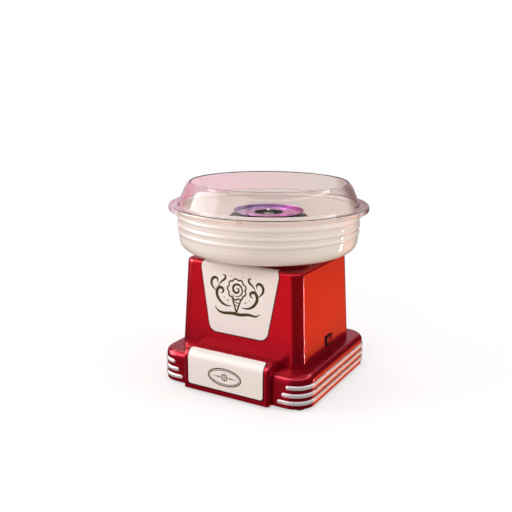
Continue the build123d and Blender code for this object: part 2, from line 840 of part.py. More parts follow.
# Rocker switch: body with its bezel, rocker on a pin, and two spade terminals
cavity_half = rocker_length / 2 + rocker_pivot_depth * sin(radians(rocker_tilt)) + rocker_play
cavity_depth = rocker_pivot_depth + rocker_root + rocker_length / 2 * sin(radians(rocker_tilt)) + rocker_play
pivot_origin = switch_origin - switch_out * rocker_pivot_depth
with BuildPart() as switch_body:
    with BuildSketch(switch_plane):
        RectangleRounded(bezel_length, bezel_width, bezel_corner_r)
    extrude(amount=bezel_thickness)
    fillet(switch_body.faces().sort_by(Axis.X)[-1].edges(), bezel_edge_r)
    with BuildSketch(switch_plane):
        Rectangle(switch_length, switch_width)
    extrude(amount=-switch_depth)
    with BuildSketch(switch_plane.offset(bezel_thickness)):
        Rectangle(2 * cavity_half, rocker_width + 2 * rocker_play)
    extrude(amount=-(bezel_thickness + cavity_depth), mode=Mode.SUBTRACT)
    with BuildSketch(Plane(origin=pivot_origin, x_dir=(0, 1, 0), z_dir=switch_up)):
        Circle(rocker_pin_r + running_gap)
    pin_half = rocker_width / 2 + rocker_pin_length + running_gap
    extrude(amount=pin_half, both=True, mode=Mode.SUBTRACT)
save(switch_body, "switch_body")

rocker_x = Vector(0, cos(radians(rocker_tilt)), 0) + switch_out * sin(radians(rocker_tilt))
rocker_plane = Plane(origin=pivot_origin, x_dir=rocker_x, z_dir=-switch_up)
with BuildPart() as switch_rocker:
    with BuildSketch(rocker_plane):
        with BuildLine():
            tip_y = rocker_pivot_depth + rocker_tip
            Polyline(
                (-rocker_length / 2, tip_y),
                (0, tip_y - rocker_dip),
                (rocker_length / 2, tip_y),
                (rocker_length / 2 - rocker_taper, -rocker_root),
                (-rocker_length / 2 + rocker_taper, -rocker_root),
                close=True,
            )
        make_face()
    extrude(amount=rocker_width / 2, both=True)
    with BuildSketch(rocker_plane):
        Circle(rocker_pin_r)
    extrude(amount=rocker_width / 2 + rocker_pin_length, both=True)
save(switch_rocker, "switch_rocker")

with BuildPart() as switch_terminals:
    with BuildSketch(switch_plane.offset(-switch_depth)):
        with GridLocations(spade_pitch, 0, 2, 1):
            Rectangle(spade_thickness, spade_width)
    extrude(amount=-spade_length)
save(switch_terminals, "switch_terminals")

# Heater housing: the fixed black shroud under the head, with a ledge for the reflector
ledge_z = deck_z + ledge_height
with BuildPart() as heater_housing:
    with BuildSketch(Plane.XZ):
        with BuildLine():
            Polyline(
                (housing_r, deck_z),
                (housing_r, deck_z + housing_skirt),
                (housing_mouth_r, deck_z + housing_top + housing_rim_height),
                (housing_mouth_r - housing_rim_width, deck_z + housing_top + housing_rim_height),
                (housing_mouth_r - housing_rim_width, deck_z + housing_top),
                (housing_opening_r, deck_z + housing_top),
                (housing_opening_r, deck_z + housing_top - housing_wall),
                (housing_mouth_r - housing_wall / 2, deck_z + housing_top - housing_wall),
                (housing_r - housing_wall, deck_z + housing_skirt - housing_wall / 2),
                (housing_r - housing_wall, ledge_z),
                (housing_r - housing_wall - ledge_width, ledge_z),
                (housing_r - housing_wall - ledge_width, ledge_z - ledge_thickness),
                (housing_r - housing_wall, ledge_z - ledge_thickness),
                (housing_r - housing_wall, deck_z),
                close=True,
            )
        make_face()
    revolve(axis=Axis.Z)
    with BuildSketch(Plane.XY.offset(deck_z)):
        with Locations(*housing_posts):
            Circle(housing_post_r)
    extrude(amount=housing_post_height)
    with BuildSketch(Plane.XY.offset(deck_z)):
        with Locations(*housing_posts):
            Circle(shank_r + screw_gap)
    extrude(amount=thread_reach + screw_gap, mode=Mode.SUBTRACT)
save(heater_housing, "heater_housing")

with BuildPart() as housing_screws:
    seat = Plane.XY.offset(deck_z - tower_wall)
    add(screws(seat, housing_posts, tower_wall + thread_reach, shank_r, head_r, head_height))
save(housing_screws, "housing_screws")

# Reflector dish on the ledge, with its sheet's thickness kept all the way
reflector_floor_z = ledge_z - reflector_depth
leg_places = [(-element_leg_x, element_leg_y), (element_leg_x, element_leg_y)]
with BuildPart() as heater_reflector:
    with BuildSketch(Plane.XZ):
        with BuildLine():
            Polyline(
                (reflector_hole_r, reflector_floor_z),
                (reflector_floor_r, reflector_floor_z),
                (reflector_slope_r, ledge_z),
                (reflector_rim_r, ledge_z),
                (reflector_rim_r, ledge_z + reflector_sheet),
                (reflector_slope_r - reflector_sheet / 2, ledge_z + reflector_sheet),
                (reflector_floor_r - reflector_sheet / 2, reflector_floor_z + reflector_sheet),
                (reflector_hole_r, reflector_floor_z + reflector_sheet),
                close=True,
            )
        make_face()
    revolve(axis=Axis.Z)
    with BuildSketch(Plane.XY.offset(reflector_floor_z)):
        with Locations(*leg_places):
            Circle(insulator_r + press_gap)
    extrude(amount=reflector_sheet, mode=Mode.SUBTRACT)
save(heater_reflector, "heater_reflector")

# Heater ring with its two legs, in ceramic insulators
element_z = deck_z + element_height
start_turn = radians(90 + element_half_gap)
element_plane = Plane(
    origin=(0, 0, element_z),
    x_dir=(cos(start_turn), sin(start_turn), 0),
    z_dir=(sin(start_turn), -cos(start_turn), 0),
)
with BuildPart() as heating_element:
    with BuildSketch(element_plane):
        with Locations((element_ring_r, 0)):
            Circle(element_r)
    revolve(axis=Axis.Z, revolution_arc=360 - 2 * element_half_gap)
    with BuildSketch(Plane.XY.offset(element_z)):
        with Locations(*leg_places):
            Circle(element_r)
    extrude(amount=-element_leg)
    with Locations(*[(x, y, element_z) for x, y in leg_places]):
        Sphere(element_r)
save(heating_element, "heating_element")

with BuildPart() as heater_insulators:
    with BuildSketch(Plane.XY.offset(reflector_floor_z + reflector_sheet)):
        with Locations(*leg_places):
            Circle(insulator_flange_r)
    extrude(amount=insulator_flange)
    with BuildSketch(Plane.XY.offset(reflector_floor_z + reflector_sheet + insulator_flange)):
        with Locations(*leg_places):
            Circle(insulator_r)
    extrude(amount=-insulator_height)
    with BuildSketch(Plane.XY.offset(reflector_floor_z + reflector_sheet + insulator_flange)):
        with Locations(*leg_places):
            Circle(element_r + running_gap)
    extrude(amount=-insulator_height, mode=Mode.SUBTRACT)
save(heater_insulators, "heater_insulators")

with BuildPart() as thermal_cutout:
    with BuildSketch(Plane.XY.offset(reflector_floor_z)):
        with Locations((cutout_x, 0)):
            Circle(cutout_r)
    extrude(amount=-cutout_thickness)
    with BuildSketch(Plane.XY.offset(reflector_floor_z - cutout_thickness)):
        with Locations((cutout_x, 0)):
            Circle(cutout_cap_r)
    extrude(amount=-cutout_cap_thickness)
save(thermal_cutout, "thermal_cutout")

# Motor can, closed at the top round its bearing's boss
with BuildPart() as motor_can:
    add(ring(motor_r, motor_r - motor_wall, motor_low_z, motor_top_z))
    add(ring(motor_r, bearing_r + press_gap, motor_top_z - motor_wall, motor_top_z))
    add(ring(bearing_boss_r, bearing_r + press_gap, motor_top_z - bearing_boss_length, motor_top_z))
    with BuildSketch(Plane.XY.offset(motor_top_z)):
        with Locations((-motor_screw_x, 0), (motor_screw_x, 0)):
            Circle(small_shank_r + screw_gap)
    extrude(amount=-motor_wall, mode=Mode.SUBTRACT)
save(motor_can, "motor_can")

# End cap with the brush holders
cap_top_z = motor_low_z
brush_z = cap_top_z + brush_height_above_cap + brush_height / 2
with BuildPart() as motor_end_cap:
    add(ring(motor_r, bearing_r + press_gap, motor_low_z - cap_thickness, motor_low_z))
    add(ring(
        motor_r - motor_wall - press_gap,
        motor_r - motor_wall - press_gap - cap_lip,
        motor_low_z - cap_thickness / 2,
        motor_low_z + cap_lip,
    ))
    holder_mid = commutator_r + holder_gap + holder_length / 2
    with BuildSketch(Plane.XY.offset(cap_top_z)):
        with Locations((-holder_mid, 0), (holder_mid, 0)):
            Rectangle(holder_length, holder_width)
    extrude(amount=holder_height)
    with BuildSketch(Plane.YZ):
        with Locations((0, brush_z)):
            Rectangle(brush_width + seat_gap, brush_height + seat_gap)
    extrude(amount=motor_r - motor_wall - cap_lip - seat_gap, both=True, mode=Mode.SUBTRACT)
save(motor_end_cap, "motor_end_cap")

with BuildPart() as motor_brushes:
    brush_mid = commutator_r + running_gap + brush_length / 2
    with Locations((-brush_mid, 0, brush_z), (brush_mid, 0, brush_z)):
        Box(brush_length, brush_width, brush_height)
    with BuildSketch(Plane.XY.offset(brush_z - brush_height)):
        Circle(commutator_r + running_gap)
    extrude(amount=2 * brush_height, mode=Mode.SUBTRACT)
save(motor_brushes, "motor_brushes")

with BuildPart() as motor_magnets:
    with BuildSketch(Plane.XY.offset(motor_low_z + magnet_low)):
        Circle(magnet_out_r)
        Circle(magnet_in_r, mode=Mode.SUBTRACT)
        half_gap = radians((180 - magnet_arc) / 2)
        Rectangle(2 * magnet_out_r, 2 * magnet_in_r * sin(half_gap), mode=Mode.SUBTRACT)
    extrude(amount=magnet_length)
save(motor_magnets, "motor_magnets")

with BuildPart() as upper_bearing:
    bearing_top_z = motor_top_z + bracket_thickness / 2
    add(ring(bearing_r, shaft_r + running_gap, bearing_top_z - bearing_length, bearing_top_z))
save(upper_bearing, "upper_bearing")

with BuildPart() as lower_bearing:
    lower_z = motor_low_z - cap_thickness
    add(ring(bearing_r, shaft_r + running_gap, lower_z, lower_z + cap_thickness))
save(lower_bearing, "lower_bearing")

# Bracket that hangs the motor under the deck on rubber dampers
with BuildPart() as motor_bracket:
    add(prism(bracket_half, bracket_half, bracket_corner_r, motor_top_z, bracket_top_z))
    with BuildSketch(Plane.XY.offset(motor_top_z)):
        Circle(bearing_r + seat_gap)
        with Locations(*motor_posts):
            Circle(shank_r + screw_gap)
        with Locations((-motor_screw_x, 0), (motor_screw_x, 0)):
            Circle(small_shank_r + screw_gap)
    extrude(amount=bracket_thickness, mode=Mode.SUBTRACT)
save(motor_bracket, "motor_bracket")

with BuildPart() as motor_dampers:
    with BuildSketch(Plane.XY.offset(bracket_top_z)):
        with Locations(*motor_posts):
            Circle(damper_r)
            Circle(shank_r + screw_gap, mode=Mode.SUBTRACT)
    extrude(amount=motor_post_low_z - bracket_top_z)
save(motor_dampers, "motor_dampers")

with BuildPart() as bracket_screws:
    bracket_screw_reach = motor_post_low_z - motor_top_z + thread_reach
    seat = Plane.XY.offset(motor_top_z)
    add(screws(seat, motor_posts, bracket_screw_reach, shank_r, head_r, head_height))
save(bracket_screws, "bracket_screws")

with BuildPart() as motor_screws:
    seat = Plane.XY.offset(bracket_top_z)
    seat = Plane(origin=seat.origin, x_dir=seat.x_dir, z_dir=-seat.z_dir)
    motor_screw_points = [(-motor_screw_x, 0), (motor_screw_x, 0)]
    motor_screw_reach = bracket_thickness + 2 * motor_wall
    add(screws(seat, motor_screw_points, motor_screw_reach, small_shank_r, small_head_r, small_head_height))
save(motor_screws, "motor_screws")

# Spindle: shaft with the shoulder that carries the head, and a thin tip
with BuildPart() as spindle_shaft:
    shaft_low_z = fan_low_z - shaft_end
    with BuildSketch(Plane.XY.offset(shaft_low_z)):
        Circle(shaft_r)
    extrude(amount=deck_z + tip_start - shaft_low_z)
    with BuildSketch(Plane.XY.offset(pan_low_z)):
        Circle(shoulder_r)
    extrude(amount=-shoulder_length)
    with BuildSketch(Plane.XY.offset(deck_z + tip_start)):
        Circle(tip_r)
    extrude(amount=tip_length)
    fillet(spindle_shaft.edges().group_by(Axis.Z)[-1], tip_edge_r)
    with BuildSketch(Plane.XZ.offset(-shaft_r)):
        with Locations((0, pan_low_z + drive_pin_rise)):
            Circle(drive_pin_r + press_gap)
    extrude(amount=2 * shaft_r, mode=Mode.SUBTRACT)
    with BuildSketch(Plane.XZ.offset(-shaft_r)):
        with Locations((0, deck_z + tip_start + tip_length / 2)):
            Circle(tip_pin_r + press_gap)
    extrude(amount=2 * shaft_r, mode=Mode.SUBTRACT)
save(spindle_shaft, "spindle_shaft")

with BuildPart() as drive_pin:
    with BuildSketch(Plane.XZ.offset(-drive_pin_half)):
        with Locations((0, pan_low_z + drive_pin_rise)):
            Circle(drive_pin_r)
    extrude(amount=2 * drive_pin_half)
save(drive_pin, "drive_pin")

with BuildPart() as tip_pin:
    with BuildSketch(Plane.XZ.offset(-tip_pin_half)):
        with Locations((0, deck_z + tip_start + tip_length / 2)):
            Circle(tip_pin_r)
    extrude(amount=2 * tip_pin_half)
save(tip_pin, "tip_pin")

# Armature: slotted core, end windings and commutator
core_low_z = motor_low_z + core_low
with BuildPart() as armature_core:
    add(ring(core_r, shaft_r + press_gap, core_low_z, core_low_z + core_length))
    with BuildSketch(Plane.XY.offset(core_low_z)):
        with PolarLocations(core_slot_mid_r, core_slots):
            Circle(core_slot_r)
        with PolarLocations(core_r, core_slots):
            Rectangle(2 * (core_r - core_slot_mid_r), core_mouth_width)
    extrude(amount=core_length, mode=Mode.SUBTRACT)
save(armature_core, "armature_core")

with BuildPart() as armature_windings:
    add(ring(winding_r, winding_in_r, core_low_z - winding_length, core_low_z))
    add(ring(winding_r, winding_in_r, core_low_z + core_length, core_low_z + core_length + winding_length))
    with BuildSketch(Plane.XY.offset(core_low_z)):
        with PolarLocations(core_slot_mid_r, core_slots):
            Circle(core_slot_r - seat_gap)
    extrude(amount=core_length)
save(armature_windings, "armature_windings")

with BuildPart() as commutator:
    commutator_low_z = motor_low_z + commutator_low - brush_height / 2
    add(ring(commutator_r, shaft_r + press_gap, commutator_low_z, commutator_low_z + commutator_length))
    with BuildSketch(Plane.XY.offset(commutator_low_z)):
        with PolarLocations(commutator_r, commutator_bars):
            Rectangle(2 * bar_cut_depth, bar_cut_width)
    extrude(amount=commutator_length, mode=Mode.SUBTRACT)
save(commutator, "commutator")

# Cooling fan below the motor
with BuildPart() as cooling_fan:
    with BuildSketch(Plane.XY.offset(fan_low_z)):
        Circle(fan_hub_r)
    extrude(amount=fan_hub_length)
    blade_length = fan_r - fan_hub_r / 2
    blade_mid = (fan_r - blade_length / 2, 0, fan_low_z + fan_hub_length / 2)
    for blade in range(fan_blades):
        place = Rot(0, 0, blade * 360 / fan_blades) * Pos(blade_mid)
        with Locations(place * Rot(fan_pitch, 0, 0)):
            Box(blade_length, fan_blade_thickness, fan_blade_width)
    with BuildSketch(Plane.XY.offset(fan_low_z)):
        Circle(shaft_r + press_gap)
    extrude(amount=fan_hub_length, mode=Mode.SUBTRACT)
save(cooling_fan, "cooling_fan")

# Extractor head: pan, hub, slotted band, spacers and lid
with BuildPart() as head_pan:
    with BuildSketch(Plane.XZ):
        with BuildLine():
            Polyline(
                (head_hub_r + press_gap, pan_low_z),
                (pan_floor_r, pan_low_z),
                (pan_wall_r, pan_flange_z),
                (pan_flange_r, pan_flange_z),
                (pan_flange_r, pan_flange_z + pan_sheet),
                (pan_wall_r - pan_sheet / 2, pan_flange_z + pan_sheet),
                (pan_floor_r - pan_sheet / 2, pan_low_z + pan_sheet),
                (head_hub_r + press_gap, pan_low_z + pan_sheet),
                close=True,
            )
        make_face()
    revolve(axis=Axis.Z)
save(head_pan, "head_pan")

with BuildPart() as head_hub:
    bore_r = shaft_r + running_gap
    add(ring(head_hub_r, bore_r, pan_low_z, pan_low_z + pan_sheet + hub_flange_thickness))
    hub_flange_z = pan_low_z + pan_sheet
    add(ring(hub_flange_r, bore_r, hub_flange_z, hub_flange_z + hub_flange_thickness))
    add(ring(hub_tube_r, bore_r, pan_low_z, pan_low_z + hub_length))
    with BuildSketch(Plane.XY.offset(pan_low_z)):
        Rectangle(2 * (drive_pin_r + running_gap), 2 * (drive_pin_half + running_gap))
    extrude(amount=hub_slot_rise, mode=Mode.SUBTRACT)
save(head_hub, "head_hub")

with BuildPart() as head_band:
    add(ring(band_r, band_r - band_sheet, band_low_z, lid_low_z))
    for turn in range(band_slots // 2):
        with BuildSketch(Plane.YZ.rotated((0, turn * 360 / band_slots, 0))):
            with Locations((0, (band_low_z + lid_low_z) / 2)):
                Rectangle(band_slot_width, band_slot_height)
        extrude(amount=band_r + band_sheet, both=True, mode=Mode.SUBTRACT)
save(head_band, "head_band")

ridge_out_r = lid_ridge_r + lid_ridge_width / 2
with BuildPart() as lid_ridge:
    add(ring(ridge_out_r, ridge_out_r - lid_ridge_width, lid_low_z, lid_top_z + lid_ridge_height))
    fillet(lid_ridge.edges().group_by(Axis.Z)[-1], lid_ridge_edge_r)

with BuildPart() as head_lid:
    add(ring(lid_r, lid_opening_r, lid_low_z, lid_top_z))
    add(ring(lid_r, lid_r - lid_lip_width, lid_low_z, lid_top_z + lid_lip_height))
    add(ring(lid_opening_r + lid_sheet, lid_opening_r, lid_low_z - lid_collar_drop, lid_top_z))
    fillet(head_lid.edges().group_by(Axis.Z)[-1], lid_lip_width / 3)
    add(lid_ridge.part)
save(head_lid, "head_lid")

with BuildPart() as head_spacers:
    with BuildSketch(Plane.XY.offset(band_low_z)):
        with PolarLocations(spacer_ring_r, spacer_count):
            Circle(spacer_r)
    extrude(amount=band_height)
save(head_spacers, "head_spacers")


# Floss bowl
def bowl_wall_r(z, inset):
    return bowl_rim_r - inset / cos(radians(bowl_draft)) - (rim_z - z) * tan(radians(bowl_draft))


bowl_corner_z = bowl_z + bowl_corner_r
bowl_corner_x = bowl_wall_r(bowl_corner_z, bowl_corner_r)
bowl_floor_z = bowl_z + bowl_wall
hub_top_z = bowl_z + bowl_hub_height
shelf_z = rim_z - bowl_wall
with BuildPart() as floss_bowl:
    with BuildSketch(Plane.XZ):
        with BuildLine():
            floor = Line((bowl_hub_r, bowl_z), (bowl_corner_x, bowl_z))
            corner = JernArc(floor @ 1, (1, 0), bowl_corner_r, 90 - bowl_draft)
            corner_end = corner @ 1
            for bead in bead_heights:
                bead_z = bowl_z + bead
                low = (bowl_wall_r(bead_z - bead_half, 0), bead_z - bead_half)
                crest = (bowl_wall_r(bead_z, -bead_proud), bead_z)
                high = (bowl_wall_r(bead_z + bead_half, 0), bead_z + bead_half)
                Line(corner_end, low)
                ThreePointArc(low, crest, high)
                corner_end = high
            inner_r = bowl_corner_r - bowl_wall
            inner_corner = JernArc((bowl_corner_x, bowl_floor_z), (1, 0), inner_r, 90 - bowl_draft)
            Polyline(
                corner_end,
                (bowl_rim_r, rim_z),
                (lip_out_r, rim_z),
                (lip_out_r, rim_z + lip_height),
                (lip_in_r, rim_z + lip_height),
                (lip_in_r, shelf_z),
                (bowl_wall_r(shelf_z - lip_slope, bowl_wall), shelf_z - lip_slope),
                inner_corner @ 1,
            )
            Polyline(
                inner_corner @ 0,
                (bowl_hub_r + bowl_wall, bowl_floor_z),
                (bowl_hub_r + bowl_wall, hub_top_z),
                (bowl_hub_r, hub_top_z),
                floor @ 0,
            )
        make_face()
    revolve(axis=Axis.Z)
    for turn in lug_turns:
        with BuildSketch(Plane.XY.offset(bowl_z)):
            with Locations(Rot(0, 0, turn) * Pos(lug_mid_r, 0)):
                Rectangle(collar_wall - 2 * seat_gap, lug_width)
        extrude(amount=-lug_drop)
save(floss_bowl, "floss_bowl")

# Rim guard: a clear open dome on a flange that hangs over the bowl's rim
with BuildPart() as rim_guard:
    flange_top_z = rim_z + guard_wall
    side_x = guard_base_r - dome_side * sin(radians(dome_lean))
    side_z = flange_top_z + dome_side * cos(radians(dome_lean))
    with BuildSketch(Plane.XZ):
        with BuildLine():
            skin = FilletPolyline(
                (guard_r, rim_z - guard_lip_drop),
                (guard_r, flange_top_z),
                (guard_base_r, flange_top_z),
                (side_x, side_z),
                radius=guard_bend_r,
            )
            JernArc(skin @ 1, skin % 1, dome_bend_r, dome_bend)
            offset(amount=guard_wall, side=Side.LEFT, closed=True)
        make_face()
    revolve(axis=Axis.Z)
    for tab in range(tab_count):
        turn = tab_start + tab * 360 / tab_count
        with BuildSketch(Plane.XY.offset(rim_z)):
            with Locations(Rot(0, 0, turn) * Pos(bowl_rim_r + tab_clearance + tab_thickness / 2, 0)):
                Rectangle(tab_thickness, tab_width)
        extrude(amount=-tab_drop)
save(rim_guard, "rim_guard")

# Terminal block on the bottom cover, and the leads from it
terminal_top_z = cover_top_z + terminal_height
terminal_first_x = terminal_x - terminal_pitch * (terminal_count - 1) / 2
terminal_xs = [terminal_first_x + terminal_pitch * step for step in range(terminal_count)]
with BuildPart() as terminal_block:
    with BuildSketch(Plane.XY.offset(cover_top_z)):
        with Locations((terminal_x, terminal_y)):
            Rectangle(terminal_length, terminal_width)
    extrude(amount=terminal_height)
    with BuildSketch(Plane.XY.offset(terminal_top_z)):
        with Locations(*[(x, terminal_y - terminal_width / 4) for x in terminal_xs]):
            Circle(terminal_screw_r)
    extrude(amount=-terminal_screw_depth, mode=Mode.SUBTRACT)
save(terminal_block, "terminal_block")

lead_y = terminal_y + terminal_width / 4
with BuildPart() as switch_lead:
    switch_rear = switch_origin - switch_out * (switch_depth + spade_length)
    add(lead([
        (terminal_xs[3], lead_y, terminal_top_z),
        (terminal_xs[3], lead_y, switch_lead_top),
        (switch_lead_turn_x, switch_lead_turn_y, switch_lead_turn_z),
        (switch_lead_run_x, switch_rear.Y + lead_offset, switch_rear.Z - lead_offset),
        tuple(switch_rear),
    ]))
save(switch_lead, "switch_lead")

with BuildPart() as motor_lead:
    cap_side = (motor_r + press_gap) / sqrt(2)
    cap_side_z = motor_low_z - cap_thickness / 2
    add(lead([
        (terminal_xs[2], lead_y, terminal_top_z),
        (terminal_xs[2], lead_y, motor_lead_top),
        (cap_side + motor_lead_reach, cap_side + motor_lead_reach, cap_side_z),
        (cap_side, cap_side, cap_side_z),
    ]))
save(motor_lead, "motor_lead")

with BuildPart() as heater_leads:
    leg_low_z = element_z - element_leg
    for start_x, (leg_x, leg_y) in zip(terminal_xs[:2], leg_places):
        add(lead([
            (start_x, lead_y, terminal_top_z),
            (start_x, lead_y, heater_lead_top),
            (leg_x, leg_y, deck_z - heater_lead_drop),
            (leg_x, leg_y, leg_low_z),
        ]))
save(heater_leads, "heater_leads")
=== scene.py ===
import bmesh
import bpy
import json
from math import atan2, cos, pi, radians, sin
from mathutils import Matrix, Vector


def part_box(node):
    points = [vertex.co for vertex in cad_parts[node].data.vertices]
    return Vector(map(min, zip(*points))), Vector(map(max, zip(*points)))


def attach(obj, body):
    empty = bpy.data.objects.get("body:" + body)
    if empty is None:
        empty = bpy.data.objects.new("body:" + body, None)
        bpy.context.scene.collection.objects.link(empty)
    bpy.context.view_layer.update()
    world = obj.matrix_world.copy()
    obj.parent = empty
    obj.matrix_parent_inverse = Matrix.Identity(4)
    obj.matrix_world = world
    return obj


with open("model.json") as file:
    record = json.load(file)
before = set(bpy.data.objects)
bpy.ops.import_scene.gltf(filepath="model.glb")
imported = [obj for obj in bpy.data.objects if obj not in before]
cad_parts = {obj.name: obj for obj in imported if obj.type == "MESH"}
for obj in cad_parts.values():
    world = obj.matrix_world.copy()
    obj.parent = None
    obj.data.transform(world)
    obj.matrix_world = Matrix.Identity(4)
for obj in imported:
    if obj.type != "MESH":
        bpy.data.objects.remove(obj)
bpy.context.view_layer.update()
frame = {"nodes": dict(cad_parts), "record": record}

print("frame loaded:", len(frame["nodes"]), "nodes")


def addObject(name, data):
    made = bpy.data.objects.new(name, data)
    bpy.context.scene.collection.objects.link(made)
    return made


def addPiece(name, mesh, material):
    data = bpy.data.meshes.new(name)
    mesh.to_mesh(data)
    mesh.free()
    data.materials.append(material)
    return addObject(name, data)


# camera in front of the machine, to its right and a little above
cameraSetup = {
    "place": (0.48596, -0.90001, 0.4316),
    "turn": 29.38,  # degrees from straight ahead
    "down": 13.81,
    "roll": 0.40,
    "lens": 49.6,
    "sensor": 36.0,
    "clipStart": 0.01,
}


def makeCamera(setup):
    camera = addObject("frontCamera", bpy.data.cameras.new("frontCamera"))
    camera.data.lens = setup["lens"]
    camera.data.sensor_width = setup["sensor"]
    camera.data.clip_start = setup["clipStart"]
    aim = Matrix.Rotation(radians(setup["turn"]), 4, "Z")
    aim = aim @ Matrix.Rotation(radians(90 - setup["down"]), 4, "X")
    aim = aim @ Matrix.Rotation(radians(setup["roll"]), 4, "Z")
    camera.matrix_world = Matrix.Translation(setup["place"]) @ aim
    bpy.context.scene.camera = camera


makeCamera(cameraSetup)

# studio lights: each is a rectangle that faces the machine's middle
machineMiddle = (0.0, 0.0, 0.15)
softLights = {
    "key": {"place": (-1.55, -1.05, 0.8), "size": (0.8, 1.0), "power": 16.5, "color": (1.0, 0.96, 0.955)},
    "frontFill": {"place": (0.1, -1.7, 1.3), "size": (0.8, 0.6), "power": 11, "color": (1.0, 0.95, 0.92)},
    "rightWarm": {"place": (1.5, 0.45, 0.55), "size": (0.8, 0.9), "power": 11, "color": (1.0, 0.94, 0.88)},
    "overhead": {"place": (0.1, 0.1, 1.9), "size": (1.2, 1.2), "power": 14, "color": (1.0, 0.99, 0.98)},
    "pinkLeft": {"place": (-1.3, 0.5, 0.4), "size": (0.5, 0.7), "power": 5, "color": (1.0, 0.35, 0.45)},
}
# stands lower than the floor, which only reflections look through
cornerStrip = {"place": (0.92, 0.76, -0.26), "size": (0.05, 0.38), "power": 4.4, "color": (1.0, 0.9, 0.84)}


def makeLight(name, place, size, power, color):
    lamp = bpy.data.lights.new(name, "AREA")
    lamp.shape = "RECTANGLE"
    lamp.size, lamp.size_y = size
    lamp.energy = power
    lamp.color = color
    light = addObject(name, lamp)
    light.location = place
    light.rotation_euler = (Vector(machineMiddle) - Vector(place)).to_track_quat("-Z", "Y").to_euler()
    return light


for name, soft in softLights.items():
    light = makeLight(name, **soft)
    light.visible_glossy = False  # reflections see the room's cards instead
    light.visible_transmission = False
makeLight("cornerStrip", **cornerStrip)


# node helpers: an input is a number, a colour or the socket of another node
def addNode(tree, kind, inputs=None, **settings):
    node = tree.nodes.new(kind)
    for name, value in settings.items():
        setattr(node, name, value)
    for name, value in (inputs or {}).items():
        if isinstance(value, bpy.types.NodeSocket):
            tree.links.new(value, node.inputs[name])
        else:
            node.inputs[name].default_value = value
    return node


def mixColor(tree, factor, *colors):
    first, second = [color if isinstance(color, bpy.types.NodeSocket) else (*color, 1) for color in colors]
    mixed = addNode(tree, "ShaderNodeMix", {"Factor": factor, 6: first, 7: second}, data_type="RGBA")
    return mixed.outputs[2]


def mixShader(tree, factor, first, second):
    return addNode(tree, "ShaderNodeMixShader", {0: factor, 1: first, 2: second}).outputs[0]


def doMath(tree, operation, *values, clamp=False):
    node = addNode(tree, "ShaderNodeMath", dict(enumerate(values)), operation=operation, use_clamp=clamp)
    return node.outputs[0]


def doVector(tree, operation, *vectors):
    node = addNode(tree, "ShaderNodeVectorMath", dict(enumerate(vectors)), operation=operation)
    return node.outputs["Value" if operation in ("DOT_PRODUCT", "LENGTH") else "Vector"]


def ramp(tree, value, start, full, low=0.0, high=1.0, kind="SMOOTHSTEP"):
    # goes from low to high as the value goes from start to full
    node = addNode(tree, "ShaderNodeMapRange", {
        "Value": value, "From Min": start, "From Max": full, "To Min": low, "To Max": high,
    }, interpolation_type=kind)
    return node.outputs["Result"]


def addNoise(tree, place, scale, detail, roughness=0.5):
    node = addNode(tree, "ShaderNodeTexNoise", {
        "Vector": place, "Scale": scale, "Detail": detail, "Roughness": roughness,
    })
    return node.outputs["Fac"]


def isLooking(tree, path):
    # the eye's own rays, also through clear plastic
    return doMath(tree, "MAXIMUM", path["Is Camera Ray"], path["Is Transmission Ray"])


# the room is white to the eye; reflections see it dim, with a few bright cards
room = {
    "fill": 0.40,  # even light for everything that isn't glossy
    "dim": (0.026, 0.022, 0.024),
    "ringHeight": 0.70,  # a lit band all round, high on the walls
    "ringHalf": 0.05,
    "ringColor": (5.0, 4.9, 4.8),
}
cards = {  # spread is the cosine where each card fades in and is full
    "ceiling": {"toward": (0.0, -0.15, 1.0), "spread": (0.35, 0.75), "color": (0.62, 0.60, 0.61)},
    "frontLeft": {"toward": (-0.30, -0.91, -0.13), "spread": (0.92, 0.985), "color": (1.35, 0.24, 0.40)},
    "behindRight": {"toward": (0.47, 0.84, -0.40), "spread": (0.945, 0.985), "color": (1.60, 0.33, 0.10)},
    "behindLeft": {"toward": (-0.55, 0.80, 0.22), "spread": (0.75, 0.95), "color": (0.55, 0.45, 0.50)},
    "softbox": {"toward": (-0.83, -0.44, 0.33), "spread": (0.885, 0.91), "color": (8.5, 8.4, 8.4)},
    "frontSoft": {"toward": (-0.35, -0.68, 0.64), "spread": (0.93, 0.955), "color": (3.8, 3.7, 3.7)},
}


def makeWorld(setup, cards):
    world = bpy.data.worlds.new("studioWorld")
    bpy.context.scene.world = world
    world.use_nodes = True
    tree = world.node_tree
    tree.nodes.clear()
    toward = addNode(tree, "ShaderNodeTexCoord").outputs["Generated"]
    reflected = setup["dim"]
    for card in cards.values():
        nearness = doVector(tree, "DOT_PRODUCT", toward, Vector(card["toward"]).normalized())
        reflected = mixColor(tree, ramp(tree, nearness, *card["spread"]), reflected, card["color"])
    height = addNode(tree, "ShaderNodeSeparateXYZ", {0: toward}).outputs["Z"]
    inRing = doMath(tree, "COMPARE", height, setup["ringHeight"], setup["ringHalf"])
    reflected = mixColor(tree, inRing, reflected, setup["ringColor"])
    path = addNode(tree, "ShaderNodeLightPath").outputs
    lit = mixColor(tree, path["Is Glossy Ray"], [setup["fill"]] * 3, reflected)
    seen = mixColor(tree, isLooking(tree, path), lit, (1, 1, 1))
    background = addNode(tree, "ShaderNodeBackground", {"Color": seen})
    addNode(tree, "ShaderNodeOutputWorld", {"Surface": background.outputs[0]})


makeWorld(room, cards)
bpy.context.scene.view_settings.view_transform = "Standard"

floorSetup = {
    "radius": 12.0,
    "segments": 96,
    "color": (0.92, 0.91, 0.91),
    "bounce": (0.62, 0.52, 0.45),  # what the floor gives back to the machine
    "glow": 1.0,
    "nearGlow": 0.5,  # share of the glow at the machine, where its shadow shows
    "fadeFrom": 0.05,
    "fadeTo": 0.6,
}


